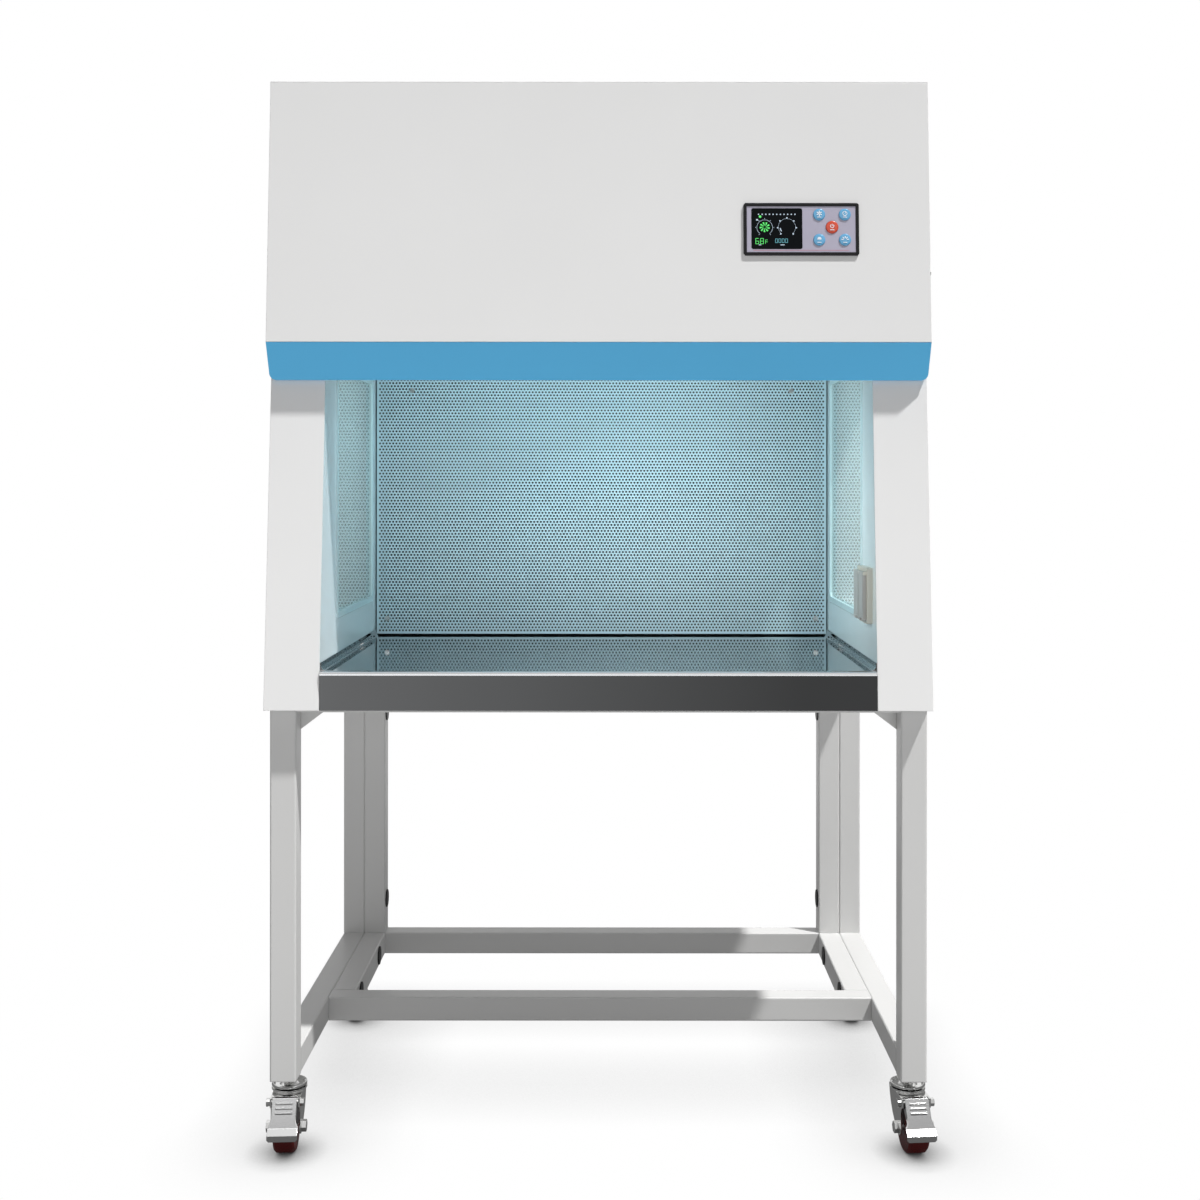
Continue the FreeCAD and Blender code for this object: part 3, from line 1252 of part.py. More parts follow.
def socket_cover(y):
    """Spring flap over one socket, hinged along its top edge, with a finger lip along the bottom."""
    hinge_x, hinge_z = cover_hinge()
    back = HALF_CHAMBER - SOCKET_THICKNESS - FIT
    front = back - COVER_THICKNESS
    half = COVER_WIDTH / 2
    bottom = SOCKET_BOTTOM + COVER_MARGIN
    flap = prism(rectangle(front, back, bottom, hinge_z - COVER_EDGE), "y", y - half, y + half)
    flap = flap.common(clipped_box("x", front, back, y - half, y + half, bottom, hinge_z, COVER_EDGE))
    barrel = many_sided("y", PIN_SIDES, COVER_BARREL_RADIUS, y - half, y + half, hinge_x, hinge_z)
    lip = box(front - COVER_LIP, front, y - half / 2, y + half / 2, bottom, bottom + 2 * COVER_LIP)
    pin_hole = cylinder("y", COVER_PIN_RADIUS + RUNNING_FIT, y - half, y + half, hinge_x, hinge_z)
    return join(flap, barrel, lip).cut(pin_hole)


def power_inlet():
    """Mains inlet in the rear panel: a flange outside, the body inside and three pins in its recess."""
    half_w, half_h = POWER_INLET_WIDTH / 2, POWER_INLET_HEIGHT / 2
    x, z = POWER_INLET_X, POWER_INLET_Z
    outer = CABINET_DEPTH + POWER_INLET_RIM
    flange = clipped_box("y", CABINET_DEPTH, outer, x - half_w, x + half_w, z - half_h, z + half_h,
                         POWER_INLET_CLIP)
    half_w -= POWER_INLET_LAP + FIT
    half_h -= POWER_INLET_LAP + FIT
    inner = CABINET_DEPTH - POWER_INLET_DEPTH
    body = box(x - half_w, x + half_w, inner, CABINET_DEPTH, z - half_h, z + half_h)
    half_w, half_h = POWER_RECESS_WIDTH / 2, POWER_RECESS_HEIGHT / 2
    floor = inner + POWER_INLET_FLOOR
    recess = clipped_box("y", floor, outer + SHEET, x - half_w, x + half_w, z - half_h, z + half_h,
                         POWER_INLET_CLIP)
    half_w, half_h = POWER_PIN_WIDTH / 2, POWER_PIN_WIDTH
    pins = []
    tip = CABINET_DEPTH - POWER_INLET_FLOOR
    for middle in (x - POWER_PIN_PITCH, x, x + POWER_PIN_PITCH):
        pins.append(box(middle - half_w, middle + half_w, floor - SHEET, tip, z - half_h, z + half_h))
    return join(join(flange, body).cut(recess), *pins)


def build_stand():
    frame = side_frame()
    export("right_side_frame", *frame)
    export("left_side_frame", *[mirrored(piece) for piece in frame])
    export("centre_frame", *centre_frame())
    export("front_cross_rail", front_cross_rail())
    export("frame_bolts", *frame_bolts())
    export("frame_bolt_caps", *bolt_caps())
    export("tube_end_plugs", *tube_end_plugs())


def build_casters():
    stems = []
    for name, (side, end, turn, braked) in CASTERS.items():
        stem = caster_stem()
        stem.translate(V(*caster_place(side, end), 0))
        stems.append(stem)
        export(name + "_fork", *caster_at(name, [caster_fork(braked)]))
        export(name + "_axle", *caster_at(name, caster_pins(braked)))
        export(name + "_wheel", *caster_at(name, [caster_wheel()]))
        if braked:
            export(name + "_brake_pedal", *caster_at(name, [brake_pedal()]))
    export("caster_stems", *stems)


def build_cabinet():
    pair = {
        "side_panel": side_panel(),
        "inner_wall": liner(),
        "window_glass": window_glass(),
        "window_gasket": window_gasket(),
    }
    hole = back_box(HALF_CHAMBER - SHEET, HALF_CHAMBER + 2 * SHEET, FIT)
    for name, shape in pair.items():
        export("left_" + name, mirrored(shape))
        if name == "inner_wall":
            shape = shape.cut(hole)
        if name == "side_panel":
            start, end = SKIN_INSIDE - SHEET, HALF_WIDTH + SHEET
            shape = shape.cut(bolt_hole("x", SCREW_SHANK_RADIUS, start, end, *side_screw_place()))
        export("right_" + name, shape)
    export("base_pan", base_pan())
    export("worktop", worktop())
    export("rear_panel", rear_panel())
    export("ceiling_panel", ceiling_panel())
    export("head_front_panel", head_front_panel())
    export("trim_band", trim_band())
    export("top_panel", top_panel())
    export("prefilter", prefilter())
    export("diffuser_plate", diffuser_plate())
    export("hepa_filter", *hepa_filter())
    export("panel_screws", *panel_screws(), *diffuser_screws())
    export("socket_box", socket_box())
    for name, y in zip(("front_socket_cover", "rear_socket_cover"), socket_centres()):
        export(name, socket_cover(y))
    export("power_inlet", power_inlet())


def build_equipment():
    export("blower_housing", blower_housing())
    export("blower_motor", blower_motor())
    export("blower_impeller", blower_impeller())
    export("light_tube", lamp(LIGHT_TUBE_RADIUS, LIGHT_TUBE_Y))
    export("uv_tube", lamp(UV_TUBE_RADIUS, UV_TUBE_Y))
    export("lamp_holders", *lamp_holders())
    export("control_bezel", on_head(control_bezel()))
    export("keypad_plate", on_head(keypad_plate()))
    export("display_screen", on_head(display_screen()))
    export("control_board", on_head(control_board()))
    for name, (x, z, radius) in KEYS.items():
        export(name, on_head(key(x, z, radius)))


os.makedirs("parts", exist_ok=True)
build_stand()
build_casters()
build_cabinet()
build_equipment()
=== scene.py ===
import json
import math

import bpy
from mathutils import Matrix, Vector


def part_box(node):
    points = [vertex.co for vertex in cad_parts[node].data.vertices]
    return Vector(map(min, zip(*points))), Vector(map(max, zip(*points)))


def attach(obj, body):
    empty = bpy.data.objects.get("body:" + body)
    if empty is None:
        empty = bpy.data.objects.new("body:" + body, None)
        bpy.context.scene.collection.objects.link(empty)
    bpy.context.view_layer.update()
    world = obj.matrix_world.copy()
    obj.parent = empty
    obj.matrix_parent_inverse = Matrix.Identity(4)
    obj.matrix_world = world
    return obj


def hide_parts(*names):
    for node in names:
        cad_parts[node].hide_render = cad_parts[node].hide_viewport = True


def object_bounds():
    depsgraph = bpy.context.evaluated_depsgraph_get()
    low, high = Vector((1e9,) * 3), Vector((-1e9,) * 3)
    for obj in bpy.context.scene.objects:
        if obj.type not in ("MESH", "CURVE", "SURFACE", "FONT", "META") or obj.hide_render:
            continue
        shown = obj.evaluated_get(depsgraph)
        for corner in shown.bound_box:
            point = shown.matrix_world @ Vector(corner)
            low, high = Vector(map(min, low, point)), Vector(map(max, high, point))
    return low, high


# Looks of the horizontal laminar flow cabinet, in metres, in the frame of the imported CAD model.

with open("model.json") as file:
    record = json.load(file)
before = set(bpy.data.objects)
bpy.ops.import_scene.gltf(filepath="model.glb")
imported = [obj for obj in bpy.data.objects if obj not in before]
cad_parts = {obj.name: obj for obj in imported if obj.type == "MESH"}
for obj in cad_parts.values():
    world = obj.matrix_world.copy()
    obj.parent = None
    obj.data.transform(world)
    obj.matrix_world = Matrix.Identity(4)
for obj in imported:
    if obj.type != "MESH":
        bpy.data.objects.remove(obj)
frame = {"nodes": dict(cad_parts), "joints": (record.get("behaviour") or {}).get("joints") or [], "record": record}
CAD_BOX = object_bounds()
scene = bpy.context.scene

# Camera, fitted to the photograph. The horizon's centre is the pixel that its level axis meets.
IMAGE_SIZE = 1200
FOCAL_PIXELS = 1555.0
HORIZON_CENTRE = (614.77, 483.93)
SENSOR = 36.0
CAMERA_PLACE = Vector((0.0245, -2.7043, 1.0229))
CAMERA_ROLL = -0.00072

# Perforated air wall
HOLE_PITCH = 0.0061
ROW_PITCH = 0.0056
HOLE_RADIUS = 0.00185
HOLE_SIDES = 8
HOLE_MARGIN = 0.0008

# Control module. Shares are of a key's flange, of its radius or of the keypad's half sides.
HEAD_LEAN = math.radians(4.57)
ART_LIFT = 0.00012
ICON_LIFT = 0.0002
KEY_SHARE = 0.862
KEY_DOME = 0.0011
KEY_EDGE_DROP = 1.6 * KEY_DOME
KEY_EDGE_RISE = 1.2 * KEY_DOME
KEY_CROWN_SHARE = 0.80
KEY_MID_SHARE = 0.40
KEY_MID_DROP = 0.12 * KEY_DOME
KEY_STEPS = 8
KEY_SIDES = 40
LINE_REACH_SHARE = 0.88
LINE_LOW_SHARE = 0.93
LINE_HIGH_SHARE = 0.905

# Display artwork, in hundredths of the screen's width from its centre, with angles in degrees
DIAL_START = 232
DIAL_END = -52
DIAL_STEPS = 40
FAN_DIAL = (-24, 2)
FAN_CENTRE = (-24, 3)
GAUGE = (20, 3)
SCALE_START = -36
SCALE_LEVEL = 28.6
SCALE_PITCH = 7.2
SCALE_DOTS = 11

# Casters
LATHE_STEPS = 64
RACE_LIFT = 0.0018
RACE_RADIUS = 0.027
RACE_HEIGHT = 0.0050
RACE_EDGE = (0.0012, 0.0010)
DISH_LIP = 0.0018
DISH_LIP_INSET = 1.8 * DISH_LIP
DISH_DEPTH = 0.0034
DISH_WALL = 0.0058
LIP_STEPS = 5
HUB_FOOT = 0.0150
HUB_SHOULDER = 0.0125
HUB_SHOULDER_DROP = 0.35 * DISH_DEPTH
HUB_RADIUS = 0.0088
STEM_RADIUS = 0.0050
NUT_REACH = 0.0098
NUT_HEIGHT = 0.008
NUT_SIDES = 6
NUT_TURN = 20
KINGPIN_RADIUS = 0.0058
KINGPIN_LENGTH = 0.0120
KINGPIN_SIDES = 24

# Surfaces. The scale of a noise is in cycles per metre.
SHARP_ANGLE = math.radians(35)
BRUSH_SCALE = 400.0
BEVEL_SAMPLES = 6
METAL_BUMP = 0.0002
PAINT_BUMP = 0.0005

# Window panes. The dust hides more of the view behind as the reflection grows from its start to its end.
PANE_IOR = 1.6
PANE_ROUGHNESS = 0.02
DUST_COLOUR = (0.95, 0.97, 0.95)
DUST_IOR = 1.5
DUST_LEAST = 0.08
DUST_MOST = 0.45
DUST_START = 0.08
DUST_END = 0.40

# Studio. Shades are levels of light, and starts and ends are parts of a unit direction.
BACKDROP_WHITE = 1.0
BACKDROP_START = 0.75
BACKDROP_END = 0.95
FRONT_START = -0.75
FRONT_END = -0.20
LEFT_END = -0.22
RIGHT_START = 0.12
LEFT_SHADE = 0.28
RIGHT_SHADE = 0.09
SIDE_SHADE = 0.36
SIDE_MIRROR = 0.15
SKY_START = 0.32
ZENITH_SHADE = 0.28
ZENITH_MIRROR = 1.3

# Floor. It throws less light back under the cabinet, and metal sees it darker than the camera does.
FLOOR_REACH = 6.0
FLOOR_DROP = 0.0005
FLOOR_FADE_START = 1.3
FLOOR_FADE_END = 2.6
FLOOR_GRAIN = 0.998
FLOOR_GRAIN_SCALE = 40.0
FLOOR_UNDER = 0.25
FLOOR_BOUNCE = 1.0
FLOOR_MIRROR = 0.18
BOUNCE_START = 0.35
BOUNCE_END = 1.15
SHADOW_SAMPLES = 8
SHADOW_REACH = 0.20
SHADOW_CONTRAST = 0.62
CONTACT_REACH = 0.05
CONTACT_CONTRAST = 0.9

# Lamps. Spreads are in degrees. Aims are x and z on the air wall, and shares are of its width.
WHITE = (1.0, 1.0, 1.0)
SUN_TARGET = (0, 0, 0.9)
KEY_POWER = 4.05
KEY_COLOUR = (1.0, 0.995, 0.985)
KEY_PLACE = (1.7, -1.2, 4.9)
KEY_SPREAD = 2.5
FILL_POWER = 0.60
FILL_PLACE = (0.7, -4.0, 0.5)
FILL_SPREAD = 40
CHAMBER_POWER = 1.5
CHAMBER_COLOUR = (0.50, 0.90, 1.0)
CHAMBER_PLACE = (0, -0.25, 1.13)
CHAMBER_AIM = (0, 1.05)
CHAMBER_WIDTH_SHARE = 0.74
CHAMBER_HEIGHT = 0.12
SPILL_POWER = 0.80
SPILL_COLOUR = (0.95, 0.97, 0.92)
SPILL_PLACE = (0.12, -0.28, 0.95)
SPILL_AIM = (0.34, 0.86)
SPILL_WIDTH_SHARE = 0.4
SPILL_HEIGHT = 0.20
STRIP_TARGET = (0, -0.4, 0.75)
STRIP_WIDTH = 2.4
HIGH_STRIP_POWER = 5.2
HIGH_STRIP_PLACE = (0, -2.06, 1.95)
HIGH_STRIP_HEIGHT = 0.50
LOW_STRIP_POWER = 2.5
LOW_STRIP_PLACE = (0, -1.17, 1.02)
LOW_STRIP_HEIGHT = 0.22


# Node helpers

class Nodes:
    """A small builder for one node tree and its output node."""

    def __init__(self, tree, output="ShaderNodeOutputMaterial"):
        self.tree = tree
        self.tree.nodes.clear()
        self.output = self.add(output)

    def add(self, kind, **values):
        node = self.tree.nodes.new(kind)
        for name, value in values.items():
            setattr(node, name, value)
        return node

    def put(self, node, name, value):
        """Sets an input, or links an output socket to it."""
        if isinstance(value, bpy.types.NodeSocket):
            self.tree.links.new(value, node.inputs[name])
        else:
            node.inputs[name].default_value = value

    def surface(self, shader):
        self.put(self.output, "Surface", shader)

    def place(self, kind="Object"):
        return self.add("ShaderNodeTexCoord").outputs[kind]

    def math(self, operation, a, b):
        node = self.add("ShaderNodeMath", operation=operation)
        self.put(node, 0, a)
        self.put(node, 1, b)
        return node.outputs[0]

    def noise(self, coordinates, scale, detail=3.0, stretch=(1, 1, 1)):
        mapping = self.add("ShaderNodeMapping")
        self.put(mapping, "Scale", stretch)
        self.put(mapping, "Vector", coordinates)
        noise = self.add("ShaderNodeTexNoise")
        self.put(noise, "Scale", scale)
        self.put(noise, "Detail", detail)
        self.put(noise, "Vector", mapping.outputs[0])
        return noise.outputs["Fac"]

    def range(self, value, low=0.0, high=1.0, start=0.0, end=1.0):
        """Maps start..end to low..high, and holds the value beyond them."""
        node = self.add("ShaderNodeMapRange")
        self.put(node, "Value", value)
        self.put(node, "From Min", start)
        self.put(node, "From Max", end)
        self.put(node, "To Min", low)
        self.put(node, "To Max", high)
        return node.outputs[0]

    def mix(self, factor, a, b):
        """Mixes two colours."""
        node = self.add("ShaderNodeMix", data_type="RGBA")
        self.put(node, 0, factor)
        self.put(node, 6, a)
        self.put(node, 7, b)
        return node.outputs[2]

    def mix_levels(self, factor, a, b):
        """Mixes two numbers."""
        node = self.add("ShaderNodeMix")
        self.put(node, 0, factor)
        self.put(node, 2, a)
        self.put(node, 3, b)
        return node.outputs[0]

    def mix_shaders(self, factor, a, b):
        node = self.add("ShaderNodeMixShader")
        self.put(node, 0, factor)
        self.put(node, 1, a)
        self.put(node, 2, b)
        return node.outputs[0]

    def transparent(self, colour):
        node = self.add("ShaderNodeBsdfTransparent")
        self.put(node, "Color", colour)
        return node.outputs[0]

    def background(self, colour):
        node = self.add("ShaderNodeBackground")
        self.put(node, "Color", colour)
        return node.outputs[0]

    def bump(self, height, strength, distance, edge=None):
        """A bumped normal, over edges that are rounded by a radius where one is given."""
        node = self.add("ShaderNodeBump")
        self.put(node, "Strength", strength)
        self.put(node, "Distance", distance)
        self.put(node, "Height", height)
        if edge is not None:
            bevel = self.add("ShaderNodeBevel", samples=BEVEL_SAMPLES)
            self.put(bevel, "Radius", edge)
            self.put(node, "Normal", bevel.outputs[0])
        return node.outputs[0]

    def occlusion(self, reach, contrast):
        node = self.add("ShaderNodeAmbientOcclusion", samples=SHADOW_SAMPLES)
        self.put(node, "Distance", reach)
        return self.math("POWER", node.outputs["AO"], contrast)


def rgba(colour):
    return (*colour, 1.0)


def grey(level):
    return rgba([level] * 3)


def tinted(colour, factor):
    return rgba([min(1.0, c * factor) for c in colour])


def new_material(name):
    material = bpy.data.materials.new(name)
    material.use_nodes = True
    nodes = Nodes(material.node_tree)
    shader = nodes.add("ShaderNodeBsdfPrincipled")
    nodes.surface(shader.outputs[0])
    return material, nodes, shader, nodes.place()


def tone(nodes, place, colour, scale, dark, bright, detail=2.0):
    """A colour that drifts a little over the surface."""
    drift = nodes.noise(place, scale, detail)
    return nodes.mix(drift, tinted(colour, dark), tinted(colour, bright))


def gloss(nodes, place, roughness, scale, spread, detail=3.0):
    """A roughness that drifts a little over the surface."""
    drift = nodes.noise(place, scale, detail)
    return nodes.range(drift, roughness - spread, roughness + spread)


# Materials

def painted(name, colour, roughness=0.42, edge=0.0012, grain=0.06):
    """Powder paint: fine orange peel, a slight drift of tone and softened edges."""
    material, nodes, shader, place = new_material(name)
    nodes.put(shader, "Base Color", tone(nodes, place, colour, scale=5.0, dark=0.98, bright=1.02))
    nodes.put(shader, "Roughness", gloss(nodes, place, roughness, scale=60.0, spread=0.05))
    peel = nodes.noise(place, scale=700.0, detail=2.0)
    nodes.put(shader, "Normal", nodes.bump(peel, grain, PAINT_BUMP, edge))
    return material


def steel(name, colour, roughness, stretch=(1, 1, 1), grain=0.03, edge=0.0008, smudge=0.04, metallic=1.0,
          grazing=1.0):
    """Bare or plated metal with brushing along one direction and a trace of handling marks."""
    material, nodes, shader, place = new_material(name)
    nodes.put(shader, "Metallic", metallic)
    nodes.put(shader, "Specular Tint", grey(grazing))
    drifting = tone(nodes, place, colour, scale=9.0, dark=0.96, bright=1.03, detail=4.0)
    nodes.put(shader, "Base Color", drifting)
    nodes.put(shader, "Roughness", gloss(nodes, place, roughness, scale=14.0, spread=smudge, detail=5.0))
    lines = nodes.noise(place, BRUSH_SCALE, stretch=stretch)
    nodes.put(shader, "Normal", nodes.bump(lines, grain, METAL_BUMP, edge))
    return material


def plastic(name, colour, roughness=0.35, grain=0.05, edge=0.0006, shine=0.5):
    """Moulded plastic with a fine grain."""
    material, nodes, shader, place = new_material(name)
    nodes.put(shader, "Base Color", tone(nodes, place, colour, scale=30.0, dark=0.95, bright=1.05))
    nodes.put(shader, "Roughness", gloss(nodes, place, roughness, scale=200.0, spread=0.05))
    pores = nodes.noise(place, scale=1500.0, detail=2.0)
    nodes.put(shader, "Normal", nodes.bump(pores, grain, METAL_BUMP, edge))
    nodes.put(shader, "Specular IOR Level", shine)
    return material


def clear_glass(name, tint):
    """Thin clear pane. Its film of dust and its mirror reflection grow with a flatter view from outside."""
    material, nodes, shader, place = new_material(name)
    nodes.put(shader, "Base Color", rgba(DUST_COLOUR))
    nodes.put(shader, "Roughness", nodes.range(nodes.noise(place, scale=6.0), low=0.0, high=0.03))
    nodes.put(shader, "IOR", DUST_IOR)
    mirror = nodes.add("ShaderNodeBsdfGlossy")
    nodes.put(mirror, "Roughness", PANE_ROUGHNESS)
    fresnel = nodes.add("ShaderNodeFresnel")
    nodes.put(fresnel, "IOR", PANE_IOR)
    inside = nodes.add("ShaderNodeNewGeometry").outputs["Backfacing"]
    glance = nodes.math("MULTIPLY", fresnel.outputs[0], nodes.math("SUBTRACT", 1.0, inside))
    dust = nodes.range(glance, DUST_LEAST, DUST_MOST, DUST_START, DUST_END)
    pane = nodes.mix_shaders(dust, nodes.transparent(rgba(tint)), shader.outputs[0])
    nodes.surface(nodes.mix_shaders(glance, pane, mirror.outputs[0]))
    return material


def glowing(name, colour, strength):
    """A lit element, slightly uneven."""
    material, nodes, shader, place = new_material(name)
    nodes.put(shader, "Base Color", grey(0.02))
    nodes.put(shader, "Emission Color", tone(nodes, place, colour, scale=300.0, dark=0.85, bright=1.0))
    nodes.put(shader, "Emission Strength", strength)
    nodes.put(shader, "Roughness", 0.4)
    return material


def filter_paper(name, dark, bright):
    """Fibrous filter medium."""
    material, nodes, shader, place = new_material(name)
    fibres = nodes.noise(place, scale=500.0, detail=6.0)
    nodes.put(shader, "Base Color", nodes.mix(fibres, rgba(dark), rgba(bright)))
    nodes.put(shader, "Roughness", 0.9)
    nodes.put(shader, "Normal", nodes.bump(fibres, 0.3, PAINT_BUMP))
    return material


WHITE_PAINT = painted("white_paint_look", (0.78, 0.78, 0.78))
FRAME_PAINT = painted("frame_paint_look", (0.62, 0.62, 0.615), edge=0.0024)
BLUE_PAINT = painted("blue_paint_look", (0.11, 0.57, 0.98), roughness=0.40)
WALL_STEEL = steel("wall_steel_look", (0.84, 0.92, 0.95), 0.26, (1, 1, 0.05), smudge=0.015, metallic=0.25)
PLATE_STEEL = steel("plate_steel_look", (0.51, 0.65, 0.71), 0.42, (1, 1, 0.2), metallic=0.35)
WINDOW_TRIM = plastic("window_trim_look", (0.60, 0.74, 0.77), 0.4)
WORKTOP_STEEL = steel("worktop_steel_look", (0.50, 0.51, 0.52), 0.04, (0.03, 1, 1), grain=0.004,
                      smudge=0.015, grazing=0.72)
ZINC = steel("zinc_look", (0.86, 0.86, 0.85), 0.10, grain=0.05, edge=0.0006)
PEDAL_STEEL = steel("pedal_steel_look", (0.60, 0.60, 0.60), 0.16, grain=0.10, edge=0.0012)
DULL_STEEL = steel("galvanised_look", (0.55, 0.56, 0.57), 0.40)
RED_TREAD = plastic("red_wheel_look", (0.07, 0.004, 0.004), 0.25, edge=0.003, shine=0.3)
BLACK_PLASTIC = plastic("black_plastic_look", (0.004, 0.004, 0.005), 0.45, shine=0.25)
BLACK_RUBBER = plastic("black_rubber_look", (0.03, 0.03, 0.03), 0.6)
KEYPAD_FILM = plastic("keypad_look", (0.42, 0.40, 0.50), 0.30)
PINK_LINE = plastic("pink_line_look", (0.50, 0.22, 0.30), 0.35)
SCREEN_BLACK = plastic("screen_look", (0.002, 0.003, 0.004), 0.5, grain=0.02, shine=0.06)
KEY_BLUE = plastic("blue_key_look", (0.13, 0.40, 0.66), 0.22)
KEY_RED = plastic("red_key_look", (0.62, 0.07, 0.03), 0.22)
ICON_WHITE = plastic("icon_look", (0.85, 0.90, 0.95), 0.4)
BEIGE_PLASTIC = plastic("beige_plastic_look", (0.62, 0.61, 0.54), 0.35)
GREY_PLASTIC = plastic("grey_plastic_look", (0.42, 0.42, 0.41), 0.40)
BOARD_GREEN = plastic("board_look", (0.02, 0.12, 0.05), 0.4)
# Dark filter medium: its low colours are painted shade for the dim gap behind the perforated plate, and the gap
# between the two colours is the fibre grain.
FILTER_PAPER_IN_PAINTED_SHADE = filter_paper("filter_media_look", (0.075, 0.08, 0.08), (0.12, 0.125, 0.125))
LAMP_GLASS = glowing("lamp_glass_look", (0.55, 0.90, 1.0), 1.6)
UV_GLASS = plastic("uv_glass_look", (0.75, 0.80, 0.85), 0.1)
WINDOW_GLASS = clear_glass("glass_look", (0.90, 0.96, 0.95))
GLOW_WHITE = glowing("glow_white", (0.65, 0.80, 0.95), 0.9)
GLOW_GREEN = glowing("glow_green", (0.10, 0.90, 0.16), 1.1)
GLOW_CYAN = glowing("glow_cyan", (0.16, 0.60, 0.70), 0.8)

SLOT_LOOKS = {
    "white_paint": WHITE_PAINT, "blue_paint": BLUE_PAINT, "frame_paint": FRAME_PAINT,
    "polished_steel": WORKTOP_STEEL, "perforated_steel": PLATE_STEEL, "wall_steel": WALL_STEEL,
    "glass": WINDOW_GLASS, "black_rubber": BLACK_RUBBER, "zinc": ZINC, "pedal_steel": PEDAL_STEEL,
    "red_wheel": RED_TREAD, "black_plastic": BLACK_PLASTIC, "screen": SCREEN_BLACK, "keypad": KEYPAD_FILM,
    "blue_key": KEY_BLUE, "red_key": KEY_RED, "beige_plastic": BEIGE_PLASTIC, "grey_plastic": GREY_PLASTIC,
    "filter_media": FILTER_PAPER_IN_PAINTED_SHADE, "lamp_glass": LAMP_GLASS, "galvanised": DULL_STEEL, "board": BOARD_GREEN,
}


def dress_cad_nodes():
    """Gives every CAD node the look of its material slot, and three nodes a look of their own."""
    for part in frame["record"]["subparts"]:
        node = frame["nodes"][part["node"]]
        node.data.materials.clear()
        node.data.materials.append(SLOT_LOOKS[part["material_slot"]])
        for face in node.data.polygons:
            face.use_smooth = True
    frame["nodes"]["uv_tube"].data.materials[0] = UV_GLASS
    for side in ("left", "right"):
        frame["nodes"][side + "_window_gasket"].data.materials[0] = WINDOW_TRIM


# Piece helpers

def piece(name, vertices, faces, material, body, matrix=None, smooth=False):
    """A mesh that rides on a body. The matrix carries it from its own frame to the row frame."""
    if matrix is not None:
        vertices = [matrix @ Vector(v) for v in vertices]
    mesh = bpy.data.meshes.new(name)
    mesh.from_pydata([tuple(v) for v in vertices], [], faces)
    mesh.materials.append(material)
    mesh.update()
    if smooth:
        mesh.shade_smooth()
        mesh.set_sharp_from_angle(angle=SHARP_ANGLE)
    made = bpy.data.objects.new(name, mesh)
    scene.collection.objects.link(made)
    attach(made, body)
    return made


def arc_point(centre, radius, turn):
    """A point on a circle, by its angle in degrees."""
    angle = math.radians(turn)
    return centre[0] + radius * math.cos(angle), centre[1] + radius * math.sin(angle)


def arc_points(centre, radius, start, end, steps):
    """Points on an arc, by angles in degrees."""
    return [arc_point(centre, radius, start + (end - start) * i / steps) for i in range(steps + 1)]


def lathe(profile, steps=LATHE_STEPS):
    """Vertices and faces of a (radius, height) outline turned about Z. Zero radii close the ends."""
    vertices, faces, rings = [], [], []
    for radius, height in profile:
        if radius == 0:
            rings.append([len(vertices)] * steps)
            vertices.append((0, 0, height))
            continue
        rings.append(list(range(len(vertices), len(vertices) + steps)))
        vertices += [(*arc_point((0, 0), radius, 360 * i / steps), height) for i in range(steps)]
    for low, high in zip(rings, rings[1:]):
        for i in range(steps):
            j = (i + 1) % steps
            corners = [low[i], low[j], high[j], high[i]]
            face = [c for k, c in enumerate(corners) if c not in corners[:k]]
            if len(face) > 2:
                faces.append(face)
    return vertices, faces


class Flat:
    """Flat artwork in the plane of a matrix. Its outlines are in a unit of their own."""

    def __init__(self, matrix, unit=1.0):
        self.matrix = matrix
        self.unit = unit
        self.vertices = []
        self.faces = []

    def shape(self, outline):
        first = len(self.vertices)
        self.vertices += [(a * self.unit, b * self.unit, 0) for a, b in outline]
        self.faces.append(list(range(first, first + len(outline))))

    def dot(self, centre, radius, sides):
        self.shape(arc_points(centre, radius, 0, 360 - 360 / sides, sides - 1))

    def stroke(self, points, width):
        """A ribbon along a path, one quad per stretch."""
        for (a0, b0), (a1, b1) in zip(points, points[1:]):
            length = math.hypot(a1 - a0, b1 - b0)
            x = -(b1 - b0) / length * width / 2
            y = (a1 - a0) / length * width / 2
            self.shape([(a0 - x, b0 - y), (a1 - x, b1 - y), (a1 + x, b1 + y), (a0 + x, b0 + y)])

    def bar(self, left, right, low, high):
        self.shape([(left, low), (right, low), (right, high), (left, high)])

    def build(self, name, material, body):
        return piece(name, self.vertices, self.faces, material, body, self.matrix)


# Perforated plate

